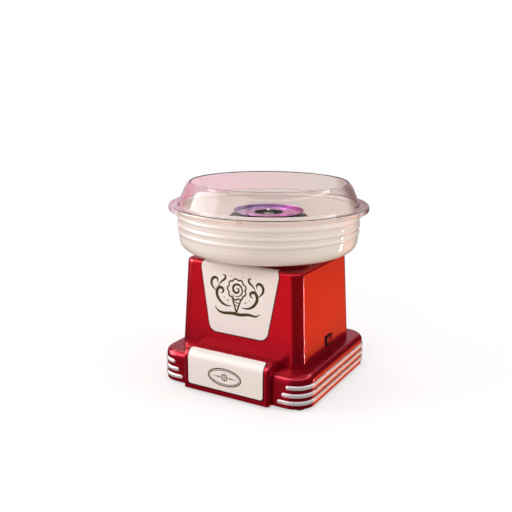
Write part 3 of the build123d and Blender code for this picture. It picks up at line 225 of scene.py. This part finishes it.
def makeFloor(setup):
    mesh = bmesh.new()
    bmesh.ops.create_circle(mesh, cap_ends=True, radius=setup["radius"], segments=setup["segments"])
    material = bpy.data.materials.new("studioFloor")
    material.use_nodes = True
    tree = material.node_tree
    tree.nodes.clear()
    distance = doVector(tree, "LENGTH", addNode(tree, "ShaderNodeTexCoord").outputs["Object"])
    share = ramp(tree, distance, setup["fadeFrom"], setup["fadeTo"], low=setup["nearGlow"])
    path = addNode(tree, "ShaderNodeLightPath").outputs
    paint = mixColor(tree, path["Is Diffuse Ray"], setup["color"], setup["bounce"])
    diffuse = addNode(tree, "ShaderNodeBsdfDiffuse", {"Color": paint}).outputs[0]
    glow = addNode(tree, "ShaderNodeEmission", {"Strength": setup["glow"]}).outputs[0]
    blend = mixShader(tree, doMath(tree, "MULTIPLY", share, isLooking(tree, path)), diffuse, glow)
    through = addNode(tree, "ShaderNodeBsdfTransparent").outputs[0]
    unmirrored = mixShader(tree, path["Is Glossy Ray"], blend, through)  # reflections look past the floor
    addNode(tree, "ShaderNodeOutputMaterial", {"Surface": unmirrored})
    plate = addPiece("studioFloor", mesh, material)


makeFloor(floorSetup)
print("camera, lights and floor set")

# shared effects, built once and placed in each material with its own values
toneInputs = {"Drift Scale": 8.0, "Drift Amount": 0.5, "Mottle Scale": 220.0, "Mottle Amount": 0.1}
glossInputs = {"Roughness": 0.3, "Spread": 0.1, "Smudge Scale": 18.0, "Scratch": 0.05}
grainInputs = {"Grain Scale": 900.0, "Grain Amount": 0.5, "Wave Scale": 30.0, "Wave Amount": 0.5}


def makeGroup(name, inputs, output, outputKind="NodeSocketFloat"):
    group = bpy.data.node_groups.new(name, "ShaderNodeTree")
    for label, value in inputs.items():
        kind = "NodeSocketColor" if isinstance(value, tuple) else "NodeSocketFloat"
        group.interface.new_socket(label, in_out="INPUT", socket_type=kind).default_value = value
    group.interface.new_socket(output, in_out="OUTPUT", socket_type=outputKind)
    given = group.nodes.new("NodeGroupInput").outputs
    results = group.nodes.new("NodeGroupOutput").inputs
    place = addNode(group, "ShaderNodeTexCoord").outputs["Object"]
    return group, given, results, place


def makeGrainGroup():
    # fine moulded grain on top of a slow waviness
    group, given, results, place = makeGroup("mouldedGrain", grainInputs, "Height")
    fine = addNoise(group, place, given["Grain Scale"], detail=3.0, roughness=0.6)
    slow = addNoise(group, place, given["Wave Scale"], detail=1.0)
    finePart = doMath(group, "MULTIPLY", fine, given["Grain Amount"])
    slowPart = doMath(group, "MULTIPLY", slow, given["Wave Amount"])
    group.links.new(doMath(group, "ADD", finePart, slowPart), results["Height"])
    return group


def makeToneGroup():
    # slow colour drift with a fine mottle
    inputs = {"Color": (0.8, 0.8, 0.8, 1), "Second Color": (0.7, 0.7, 0.7, 1), **toneInputs}
    group, given, results, place = makeGroup("toneDrift", inputs, "Color", "NodeSocketColor")
    drift = addNoise(group, place, given["Drift Scale"], detail=2.0)
    mottle = addNoise(group, place, given["Mottle Scale"], detail=4.0, roughness=0.7)
    driftPart = doMath(group, "MULTIPLY", drift, given["Drift Amount"])
    mottlePart = doMath(group, "MULTIPLY", mottle, given["Mottle Amount"])
    share = doMath(group, "ADD", driftPart, mottlePart, clamp=True)
    mixed = mixColor(group, share, given["Color"], given["Second Color"])
    group.links.new(mixed, results["Color"])
    return group


handling = {
    "smudgeFrom": 0.35,
    "smudgeFull": 0.7,
    "scratchTurn": (0.4, 0.9, 0.6),
    "scratchStretch": (1.0, 30.0, 30.0),
    "scratchScale": 28.0,
    "scratchFrom": 0.68,
    "scratchFull": 0.74,
}


def makeHandlingGroup(setup):
    # roughness that drifts where hands and cloths have been, with faint fine scratches
    group, given, results, place = makeGroup("handledGloss", glossInputs, "Roughness")
    smudge = addNoise(group, place, given["Smudge Scale"], detail=5.0, roughness=0.65)
    smudged = ramp(group, smudge, setup["smudgeFrom"], setup["smudgeFull"], kind="LINEAR")
    stretched = addNode(group, "ShaderNodeMapping", {
        "Vector": place, "Rotation": setup["scratchTurn"], "Scale": setup["scratchStretch"],
    })
    hairline = addNoise(group, stretched.outputs[0], setup["scratchScale"], detail=2.0)
    scratched = ramp(group, hairline, setup["scratchFrom"], setup["scratchFull"], kind="LINEAR")
    smudgePart = doMath(group, "MULTIPLY", smudged, given["Spread"])
    scratchPart = doMath(group, "MULTIPLY", scratched, given["Scratch"])
    both = doMath(group, "ADD", smudgePart, scratchPart)
    group.links.new(doMath(group, "ADD", both, given["Roughness"], clamp=True), results["Roughness"])
    return group


grainGroup = makeGrainGroup()
toneGroup = makeToneGroup()
handlingGroup = makeHandlingGroup(handling)


def addTouch(tree, surface, gloss, grain, bump):
    # handled gloss and moulded grain
    handled = addNode(tree, "ShaderNodeGroup", dict(zip(glossInputs, gloss)), node_tree=handlingGroup)
    tree.links.new(handled.outputs["Roughness"], surface.inputs["Roughness"])
    grained = addNode(tree, "ShaderNodeGroup", dict(zip(grainInputs, grain)), node_tree=grainGroup)
    strength, distance = bump
    relief = addNode(tree, "ShaderNodeBump", {
        "Height": grained.outputs["Height"], "Strength": strength, "Distance": distance,
    })
    tree.links.new(relief.outputs["Normal"], surface.inputs["Normal"])


def makeFinish(name, color, second, gloss, grain, bump, tone=(6.0, 0.4, 240.0, 0.15), sockets=None):
    # tone, gloss and grain go in the order of the effects' inputs; sockets hold what is the same all over
    material = bpy.data.materials.new(name)
    material.use_nodes = True
    tree = material.node_tree
    surface = tree.nodes["Principled BSDF"]
    for label, value in (sockets or {}).items():
        surface.inputs[label].default_value = value
    toned = addNode(tree, "ShaderNodeGroup", {
        "Color": (*color, 1), "Second Color": (*second, 1), **dict(zip(toneInputs, tone)),
    }, node_tree=toneGroup)
    tree.links.new(toned.outputs["Color"], surface.inputs["Base Color"])
    addTouch(tree, surface, gloss, grain, bump)
    return material


# candy red lacquer: metal flake under a clear coat
lacquer = {
    "deep": (0.42, 0.0028, 0.013),
    "bright": (0.49, 0.0045, 0.013),
    "finish": {
        "tone": (5.0, 0.9, 300.0, 0.2), "gloss": (0.25, 0.03, 16.0, 0.03),
        "grain": (1100.0, 0.2, 30.0, 0.2), "bump": (0.03, 0.0002),
        "sockets": {"Metallic": 0.64, "Specular IOR Level": 0.3, "Coat Weight": 0.28,
                    "Coat Roughness": 0.045, "Coat IOR": 1.5},
    },
    "flake": (0.85, 0.035, 0.03),
    "flakeScale": 2600.0,
    "flakeFrom": 0.55,  # cells below this have no flake
    "flakeShare": 0.35,
    "low": (0.70, 0.64, 1.25),  # painted shade: the lacquer turns darker and more crimson towards the plinth
    "shadeFull": 0.056,
    "shadeEnds": 0.105,
}


def makeLacquer(setup):
    material = makeFinish("candyRedLacquer", setup["deep"], setup["bright"], **setup["finish"])
    tree = material.node_tree
    base = tree.nodes["Principled BSDF"].inputs["Base Color"]
    toned = base.links[0].from_socket
    place = addNode(tree, "ShaderNodeTexCoord").outputs["Object"]
    cells = addNode(tree, "ShaderNodeTexVoronoi", {"Vector": place, "Scale": setup["flakeScale"]})
    cell = addNode(tree, "ShaderNodeSeparateColor", {"Color": cells.outputs["Color"]}).outputs["Red"]
    flakes = ramp(tree, cell, setup["flakeFrom"], 1.0, high=setup["flakeShare"], kind="LINEAR")
    sparkling = mixColor(tree, flakes, toned, setup["flake"])
    # painted shade: the red turns darker and more crimson low down, towards the plinth
    height = addNode(tree, "ShaderNodeSeparateXYZ", {0: place}).outputs["Z"]
    paintedShadeShare = ramp(tree, height, setup["shadeEnds"], setup["shadeFull"])
    paintedShadeColor = doVector(tree, "MULTIPLY", sparkling, setup["low"])
    tree.links.new(mixColor(tree, paintedShadeShare, sparkling, paintedShadeColor), base)
    return material


# clear moulded plastic: nearly colourless in front; the rosy left and smoky right are painted reflection,
# darkening to painted shade at the right end
clearPlastic = {
    "front": (0.93, 0.89, 0.885),
    # painted reflection: rosy at the left and smoky at the right, darkest at the right end as painted shade
    "left": (0.87, 0.58, 0.64),
    "right": (0.74, 0.63, 0.58),
    "leftEnd": (0.96, 0.56, 0.66),
    "rightEnd": (0.42, 0.29, 0.275),
    "flangeFront": (0.92, 0.84, 0.82),
    "flangeLeft": (0.93, 0.62, 0.68),
    "flangeRight": (0.36, 0.21, 0.19),
    "edge": (0.76, 0.62, 0.60),
    "edgeBlend": 0.12,
    "acrossWay": (0.88, 0.47, 0.0),  # from the rosy side to the smoky one
    "tintSpan": 0.12,  # metres either side of the middle
    "endsFrom": 0.82,  # share of the radius where the two ends take their own tint
    "endsFull": 0.95,
    "backWay": (-0.47, 0.88, 0.0),
    "frontEnds": -0.075,
    "backBegins": 0.015,
    "flangeR": 0.134,
    "flangeFade": 0.002,
    "rimSoft": 0.0009,  # height of the mouth's edge that turns part see-through
    "rimAlpha": 0.3,
    "mirror": (0.72, 0.70, 0.70),  # how much of the room it gives back
    "shadow": (0.95, 0.93, 0.92),
    "ior": 1.46,
    "touch": {"gloss": (0.015, 0.02, 14.0, 0.03), "grain": (700.0, 0.1, 24.0, 1.0), "bump": (0.06, 0.0006)},
}


# painted reflection on the back of the wall and on the flange: rosy at the left, smoky at the right, with
# painted shade at the right end
def paintReflectionTint(tree, place, setup):
    sideways = doVector(tree, "DOT_PRODUCT", place, setup["acrossWay"])
    across = ramp(tree, sideways, -setup["tintSpan"], setup["tintSpan"])
    backwards = doVector(tree, "DOT_PRODUCT", place, setup["backWay"])
    behind = ramp(tree, backwards, setup["frontEnds"], setup["backBegins"])
    wall = mixColor(tree, behind, setup["front"], mixColor(tree, across, setup["left"], setup["right"]))
    flange = setup["flangeFront"]
    flat = doVector(tree, "MULTIPLY", place, (1.0, 1.0, 0.0))
    heading = doVector(tree, "DOT_PRODUCT", doVector(tree, "NORMALIZE", flat), setup["acrossWay"])
    for way, wallEnd, flangeEnd in ((-1, "leftEnd", "flangeLeft"), (1, "rightEnd", "flangeRight")):
        atEnd = ramp(tree, heading, way * setup["endsFrom"], way * setup["endsFull"])
        wall = mixColor(tree, atEnd, wall, setup[wallEnd])
        flange = mixColor(tree, atEnd, flange, setup[flangeEnd])
    edgeOn = addNode(tree, "ShaderNodeLayerWeight", {"Blend": setup["edgeBlend"]}).outputs["Facing"]
    edged = mixColor(tree, edgeOn, wall, setup["edge"])
    radius = doVector(tree, "LENGTH", flat)
    flangeStarts = setup["flangeR"]
    onFlange = ramp(tree, radius, flangeStarts, flangeStarts + setup["flangeFade"], kind="LINEAR")
    return mixColor(tree, onFlange, edged, flange)


def makeClear(name, setup):
    material = bpy.data.materials.new(name)
    material.use_nodes = True
    tree = material.node_tree
    surface = tree.nodes["Principled BSDF"]
    surface.inputs["Transmission Weight"].default_value = 1.0
    surface.inputs["IOR"].default_value = setup["ior"]
    surface.inputs["Specular Tint"].default_value = (*setup["mirror"], 1)
    place = addNode(tree, "ShaderNodeTexCoord").outputs["Object"]
    tree.links.new(paintReflectionTint(tree, place, setup), surface.inputs["Base Color"])
    height = addNode(tree, "ShaderNodeSeparateXYZ", {0: place}).outputs["Z"]
    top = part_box("rim_guard")[1].z
    softFrom, softFull = top - setup["rimSoft"], top - setup["rimSoft"] / 2
    rim = ramp(tree, height, softFrom, softFull, low=1.0, high=setup["rimAlpha"], kind="LINEAR")
    tree.links.new(rim, surface.inputs["Alpha"])
    addTouch(tree, surface, **setup["touch"])
    path = addNode(tree, "ShaderNodeLightPath").outputs
    through = addNode(tree, "ShaderNodeBsdfTransparent", {"Color": (*setup["shadow"], 1)}).outputs[0]
    blend = mixShader(tree, path["Is Shadow Ray"], surface.outputs[0], through)
    tree.links.new(blend, tree.nodes["Material Output"].inputs["Surface"])
    return material


# polished lid of the head: a violet to magenta sweep from left to right, which is painted reflection;
# painted shade in its well and a painted dark reflection round its outer side
headMetal = {
    "left": (0.39, 0.38, 0.62),
    "right": (0.68, 0.12, 0.50),
    "finish": {
        "tone": (14.0, 1.0, 500.0, 0.1), "gloss": (0.14, 0.10, 50.0, 0.10),
        "grain": (1600.0, 0.4, 60.0, 0.5), "bump": (0.10, 0.0002), "sockets": {"Metallic": 1.0},
    },
    "drift": 0.35,  # how far the tint wanders from the even sweep
    # colour of the painted shade in the well and of the painted dark reflection on the outer side
    "dark": (0.030, 0.022, 0.020),
    "wellR": 0.0216,
    "sideSkin": 0.0003,  # how near the full radius counts as its outer side
    "brightEdge": 0.0009,  # height of the lip that stays bright
}


def makeHeadMetal(setup):
    material = makeFinish("polishedHead", setup["left"], setup["right"], **setup["finish"])
    tree = material.node_tree
    base = tree.nodes["Principled BSDF"].inputs["Base Color"]
    toned = base.links[0].from_socket
    place = addNode(tree, "ShaderNodeTexCoord").outputs["Object"]
    apart = addNode(tree, "ShaderNodeSeparateXYZ", {0: place}).outputs
    low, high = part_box("head_lid")
    # painted reflection: violet at the left turning magenta at the right
    reflectionSweep = mixColor(tree, ramp(tree, apart["X"], low.x, high.x), setup["left"], setup["right"])
    drifted = mixColor(tree, setup["drift"], reflectionSweep, toned)
    # painted shade in the well, and a painted dark reflection on the outer side below the lip
    radius = doVector(tree, "LENGTH", doVector(tree, "MULTIPLY", place, (1.0, 1.0, 0.0)))
    inWell = doMath(tree, "LESS_THAN", radius, setup["wellR"])
    outside = doMath(tree, "GREATER_THAN", radius, high.x - setup["sideSkin"])
    underEdge = doMath(tree, "LESS_THAN", apart["Z"], high.z - setup["brightEdge"])
    shadeAndReflectionMask = doMath(tree, "MAXIMUM", inWell, doMath(tree, "MULTIPLY", outside, underEdge))
    tree.links.new(mixColor(tree, shadeAndReflectionMask, drifted, setup["dark"]), base)
    return material


# finishes by material slot of the record
finishes = {
    "red_shell": makeLacquer(lacquer),
    "cream_panel": makeFinish(
        "creamPanel", (0.88, 0.86, 0.84), (0.84, 0.81, 0.78), tone=(4.0, 0.7, 500.0, 0.25),
        gloss=(0.34, 0.08, 20.0, 0.04), grain=(1500.0, 0.5, 60.0, 0.3), bump=(0.08, 0.0002),
        sockets={"Coat Weight": 0.25, "Coat Roughness": 0.12}),
    "silver_trim": makeFinish(
        "silverTrim", (0.86, 0.85, 0.86), (0.74, 0.73, 0.75), tone=(20.0, 0.5, 700.0, 0.2),
        gloss=(0.24, 0.10, 40.0, 0.08), grain=(1800.0, 0.5, 120.0, 0.4), bump=(0.10, 0.0002),
        sockets={"Metallic": 0.45}),
    "dark_cover": makeFinish(
        "darkCover", (0.035, 0.034, 0.036), (0.055, 0.053, 0.055), gloss=(0.5, 0.15, 20.0, 0.05),
        grain=(1200.0, 1.0, 40.0, 0.3), bump=(0.4, 0.0004)),
    "foot_rubber": makeFinish(
        "footRubber", (0.03, 0.03, 0.03), (0.06, 0.058, 0.056), gloss=(0.72, 0.15, 60.0, 0.0),
        grain=(1500.0, 1.0, 60.0, 0.4), bump=(0.35, 0.0003)),
    "screw_steel": makeFinish(
        "screwSteel", (0.58, 0.58, 0.60), (0.48, 0.47, 0.46), tone=(90.0, 0.5, 900.0, 0.3),
        gloss=(0.28, 0.15, 120.0, 0.1), grain=(2600.0, 0.6, 200.0, 0.4), bump=(0.2, 0.0002),
        sockets={"Metallic": 1.0}),
    "black_plastic": makeFinish(
        "blackPlastic", (0.010, 0.009, 0.010), (0.018, 0.016, 0.017), gloss=(0.38, 0.12, 24.0, 0.05),
        grain=(1000.0, 0.6, 50.0, 0.4), bump=(0.15, 0.0003), sockets={"Specular IOR Level": 0.04}),
    "bright_aluminium": makeFinish(
        "brightAluminium", (0.30, 0.27, 0.26), (0.22, 0.18, 0.17), gloss=(0.22, 0.12, 40.0, 0.08),
        grain=(1500.0, 0.5, 80.0, 0.4), bump=(0.12, 0.0002), sockets={"Metallic": 1.0}),
    "heater_steel": makeFinish(
        "heaterSteel", (0.20, 0.17, 0.15), (0.34, 0.22, 0.16), tone=(30.0, 0.8, 400.0, 0.4),
        gloss=(0.45, 0.2, 60.0, 0.05), grain=(1400.0, 1.0, 90.0, 0.5), bump=(0.3, 0.0003),
        sockets={"Metallic": 0.8}),
    "white_ceramic": makeFinish(
        "whiteCeramic", (0.82, 0.79, 0.73), (0.72, 0.68, 0.60), gloss=(0.55, 0.15, 60.0, 0.0),
        grain=(1600.0, 1.0, 90.0, 0.4), bump=(0.3, 0.0003)),
    "motor_steel": makeFinish(
        "motorSteel", (0.48, 0.48, 0.50), (0.40, 0.39, 0.38), gloss=(0.36, 0.15, 40.0, 0.1),
        grain=(1300.0, 0.8, 60.0, 0.4), bump=(0.2, 0.0003), sockets={"Metallic": 1.0}),
    "magnet_iron": makeFinish(
        "magnetIron", (0.07, 0.07, 0.075), (0.11, 0.10, 0.10), gloss=(0.55, 0.15, 60.0, 0.0),
        grain=(1200.0, 1.0, 60.0, 0.6), bump=(0.4, 0.0004)),
    "bearing_bronze": makeFinish(
        "bearingBronze", (0.62, 0.42, 0.20), (0.48, 0.31, 0.15), gloss=(0.34, 0.12, 80.0, 0.05),
        grain=(1800.0, 0.8, 90.0, 0.4), bump=(0.2, 0.0002), sockets={"Metallic": 1.0}),
    "red_rocker": makeFinish(
        "redRocker", (0.34, 0.006, 0.008), (0.27, 0.005, 0.006), gloss=(0.22, 0.08, 120.0, 0.03),
        grain=(2600.0, 0.4, 200.0, 0.4), bump=(0.1, 0.0002),
        sockets={"Coat Weight": 0.1, "Coat Roughness": 0.08, "Specular IOR Level": 0.25}),
    "lead_cover": makeFinish(
        "leadCover", (0.70, 0.67, 0.62), (0.60, 0.56, 0.52), gloss=(0.5, 0.1, 80.0, 0.0),
        grain=(2400.0, 0.8, 200.0, 0.4), bump=(0.2, 0.0002)),
    "shaft_steel": makeFinish(
        "shaftSteel", (0.66, 0.63, 0.62), (0.54, 0.50, 0.48), gloss=(0.18, 0.12, 120.0, 0.1),
        grain=(2600.0, 0.6, 200.0, 0.4), bump=(0.15, 0.0002), sockets={"Metallic": 1.0}),
    "winding_copper": makeFinish(
        "windingCopper", (0.60, 0.24, 0.10), (0.42, 0.15, 0.06), tone=(60.0, 0.7, 900.0, 0.5),
        gloss=(0.28, 0.15, 120.0, 0.0), grain=(1800.0, 1.0, 400.0, 0.8), bump=(0.5, 0.0004),
        sockets={"Metallic": 0.9}),
    "polished_head": makeHeadMetal(headMetal),
    "bowl_cream": makeFinish(
        "bowlCream", (0.85, 0.805, 0.77), (0.80, 0.745, 0.71), tone=(5.0, 0.8, 400.0, 0.15),
        gloss=(0.22, 0.07, 14.0, 0.04), grain=(1300.0, 0.3, 26.0, 0.5), bump=(0.06, 0.0003),
        sockets={"Subsurface Weight": 0.25, "Subsurface Radius": (0.012, 0.009, 0.007),
                 "Subsurface Scale": 1.0, "Coat Weight": 0.35, "Coat Roughness": 0.04,
                 "Specular IOR Level": 0.3}),
    "clear_guard": makeClear("clearGuard", clearPlastic),
}
for part in frame["record"]["subparts"]:
    node = frame["nodes"][part["node"]]
    if not node.material_slots:
        node.data.materials.append(None)
    for slot in node.material_slots:
        slot.material = finishes[part["material_slot"]]
print("finishes set")

# prints: raised ink, drawn in millimetres on a flat sheet and then laid on its plate
ink = {
    "color": (0.045, 0.036, 0.010),
    "second": (0.07, 0.055, 0.02),
    "finish": {
        "tone": (60.0, 0.5, 900.0, 0.3), "gloss": (0.45, 0.12, 60.0, 0.0),
        "grain": (2400.0, 0.8, 300.0, 0.4), "bump": (0.2, 0.0001), "sockets": {"Specular IOR Level": 0.15},
    },
    "thickness": 0.00012,
    "penRadius": 0.0005,
    "penRounding": 2,
    "lineSteps": 6,
    "dotRounding": 2,
    "swellPower": 0.7,  # a lower power fills a tapered stroke out sooner
    "thinnest": 0.18,
}
printInk = makeFinish("printInk", ink["color"], ink["second"], **ink["finish"])
millimetres = 1000  # in a metre


def spiral(middle, fromR, toR, fromTurn, toTurn, steps):
    points = []
    for step in range(steps + 1):
        share = step / steps
        angle = 2 * pi * (fromTurn + (toTurn - fromTurn) * share)
        radius = fromR + (toR - fromR) * share
        points.append((middle[0] + radius * cos(angle), middle[1] + radius * sin(angle)))
    return points


def puffOutline(middle, radius, lobes, depth, steps=84):
    points = []
    for step in range(steps):
        angle = 2 * pi * step / steps
        reach = radius * (1 - depth + depth * abs(sin(lobes * angle / 2)))
        points.append((middle[0] + reach * cos(angle), middle[1] + reach * sin(angle)))
    return points


def mirrored(points):
    return [(-x, y) for x, y in points]


def drawStroke(curve, points, width, taper=False, closed=False):
    # one pen stroke: a smooth line, thin at both ends where it tapers
    line = curve.splines.new("NURBS")
    line.points.add(len(points) - 1)
    for index, (point, (x, y)) in enumerate(zip(line.points, points)):
        share = index / (len(points) - 1)
        swell = sin(pi * share) ** ink["swellPower"] if taper else 1.0
        point.co = (x / millimetres, y / millimetres, 0, 1)
        point.radius = width * max(swell, ink["thinnest"])
    line.order_u = 3
    line.use_endpoint_u = not closed
    line.use_cyclic_u = closed


def inkStrokes(name, strokes):
    curve = bpy.data.curves.new(name, "CURVE")
    curve.dimensions = "3D"
    curve.bevel_depth = ink["penRadius"]
    curve.bevel_resolution = ink["penRounding"]
    curve.use_fill_caps = True
    curve.resolution_u = ink["lineSteps"]
    for stroke in strokes:
        drawStroke(curve, **stroke)
    drawn = bpy.data.objects.new(name + "Line", curve)
    lined = bpy.data.meshes.new_from_object(drawn)
    mesh = bmesh.new()
    mesh.from_mesh(lined)
    bpy.data.objects.remove(drawn)
    bpy.data.curves.remove(curve)
    bpy.data.meshes.remove(lined)
    return mesh


def layPrint(name, strokes, dots, place, lean):
    mesh = inkStrokes(name, strokes)
    for x, y, radius in dots:
        middle = Matrix.Translation((x / millimetres, y / millimetres, 0))
        bmesh.ops.create_icosphere(
            mesh, subdivisions=ink["dotRounding"], radius=radius / millimetres, matrix=middle)
    thickest = max(abs(vertex.co.z) for vertex in mesh.verts)
    bmesh.ops.scale(mesh, vec=(1, 1, ink["thickness"] / thickest), verts=mesh.verts)
    laid = Matrix.Translation(place) @ Matrix.Rotation(radians(90) - lean, 4, "X")
    bmesh.ops.transform(mesh, matrix=laid, verts=mesh.verts)
    bmesh.ops.recalc_face_normals(mesh, faces=mesh.faces)
    for face in mesh.faces:
        face.smooth = True
    printed = addPiece(name, mesh, printInk)
    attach(printed, "base")


# front panel: floss on its cone between scrolls
panelPrint = {
    "rise": 0.058,  # above the panel's bottom edge
    "shift": -0.003,
    "lean": 5.0 / 135.0,  # run over rise of the tower's front
    "puff": (0.0, 9.0),
    "puffR": 15.5,
    "lobes": 9,
    "lobeDepth": 0.16,
    "curl": {"fromR": 11.4, "toR": 1.5, "fromTurn": 0.62, "toTurn": 2.35, "steps": 22},
    "cone": [(-7.2, -4.4), (-3.6, -14.5), (0.0, -24.5)],
    "wraps": [
        [(-5.9, -8.0), (0.0, -10.8), (5.0, -10.4)],
        [(-4.4, -12.6), (0.0, -15.2), (3.4, -14.9)],
    ],
    "swash": [(-36.0, -20.0), (-31.0, -27.0), (-20.0, -28.5), (-6.0, -26.0),
              (6.0, -27.5), (20.0, -24.0), (33.0, -26.5), (38.0, -21.0)],
    "scroll": [(-8.5, -16.0), (-16.0, -17.5), (-27.0, -12.5), (-34.0, -2.0),
               (-31.0, 9.0), (-22.5, 8.5), (-21.5, 1.5), (-26.5, 0.0)],
    "plume": [(-33.0, 2.0), (-41.0, 7.0), (-43.0, 17.0), (-37.0, 23.0), (-30.5, 20.0), (-32.0, 14.5)],
    "tendril": [(-31.0, 10.0), (-26.0, 17.5), (-18.5, 22.0), (-19.0, 28.0), (-24.0, 27.5)],
    "dots": [(14.5, -8.5, 1.3), (20.5, -4.5, 0.9), (9.0, 27.5, 0.9)],  # across, up and radius
}


def makePanelPrint(setup):
    puff = puffOutline(setup["puff"], setup["puffR"], setup["lobes"], setup["lobeDepth"])
    strokes = [
        {"points": puff, "width": 2.5, "closed": True},
        {"points": spiral(setup["puff"], **setup["curl"]), "width": 3.6, "taper": True},
        {"points": setup["cone"], "width": 2.6},
        {"points": mirrored(setup["cone"]), "width": 2.6},
        *[{"points": wrap, "width": 1.6} for wrap in setup["wraps"]],
        {"points": setup["swash"], "width": 5.0, "taper": True},
    ]
    for label, width in (("scroll", 5.0), ("plume", 4.6), ("tendril", 3.8)):
        for points in (setup[label], mirrored(setup[label])):
            strokes.append({"points": points, "width": width, "taper": True})
    dots = [(side * x, y, radius) for side in (-1, 1) for x, y, radius in setup["dots"]]
    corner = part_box("front_panel")[0]
    rise, lean = setup["rise"], setup["lean"]
    place = (setup["shift"], corner.y + rise * lean, corner.z + rise)
    layPrint("panelPrint", strokes, dots, place, atan2(lean, 1.0))


# badge plate: double oval with a rosette and a row of dots
badgePrint = {
    "rise": 0.0205,
    "halfWidth": 26.5,
    "halfHeight": 12.5,
    "gap": 2.4,
    "heartR": 1.7,
    "rosette": 4.4,
    "petals": 8,
    "petalR": 1.5,
    "rowFrom": 8.8,
    "rowStep": 3.4,
    "rowDots": 4,
    "rowR": 1.5,
    "rowShrink": 0.28,
}


def ovalRing(halfWidth, halfHeight, steps=48):
    turns = [2 * pi * step / steps for step in range(steps)]
    return [(halfWidth * cos(turn), halfHeight * sin(turn)) for turn in turns]


def makeBadgePrint(setup):
    wide, tall, gap = setup["halfWidth"], setup["halfHeight"], setup["gap"]
    strokes = [
        {"points": ovalRing(wide, tall), "width": 1.8, "closed": True},
        {"points": ovalRing(wide - gap, tall - gap), "width": 1.1, "closed": True},
    ]
    dots = [(0.0, 0.0, setup["heartR"])]
    for petal in range(setup["petals"]):
        angle = 2 * pi * petal / setup["petals"]
        dots.append((setup["rosette"] * cos(angle), setup["rosette"] * sin(angle), setup["petalR"]))
    for side in (-1, 1):
        for step in range(setup["rowDots"]):
            across = setup["rowFrom"] + setup["rowStep"] * step
            dots.append((side * across, 0.0, setup["rowR"] - setup["rowShrink"] * step))
    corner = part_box("badge_plate")[0]
    layPrint("badgePrint", strokes, dots, (0.0, corner.y, corner.z + setup["rise"]), 0.0)


makePanelPrint(panelPrint)
makeBadgePrint(badgePrint)
print("prints laid")

# dark seams that show round the panel and the plate: a copy of each, a little wider and behind its face
seams = {
    "panelSeam": {"node": "front_panel", "wider": 0.0013, "behind": 0.00030},
    "plateSeam": {"node": "badge_plate", "wider": 0.0013, "behind": 0.00035},
}
seamWeld = 0.000001  # a CAD mesh is loose triangles, so the copy is welded first


def makeSeam(name, node, wider, behind):
    low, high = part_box(node)
    mesh = bmesh.new()
    mesh.from_mesh(frame["nodes"][node].data)
    bmesh.ops.remove_doubles(mesh, verts=mesh.verts, dist=seamWeld)
    halfWidth, height = (high.x - low.x) / 2, high.z - low.z
    widened = (halfWidth + wider) / halfWidth
    lengthened = (height + wider) / height
    fromTop = Matrix.Translation((0, 0, -high.z))
    bmesh.ops.scale(mesh, vec=(widened, 1, lengthened), space=fromTop, verts=mesh.verts)
    bmesh.ops.translate(mesh, vec=(0, behind, -behind), verts=mesh.verts)
    seam = addPiece(name, mesh, finishes["black_plastic"])
    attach(seam, "base")


for name, seam in seams.items():
    makeSeam(name, **seam)
print("seams set round the plates")
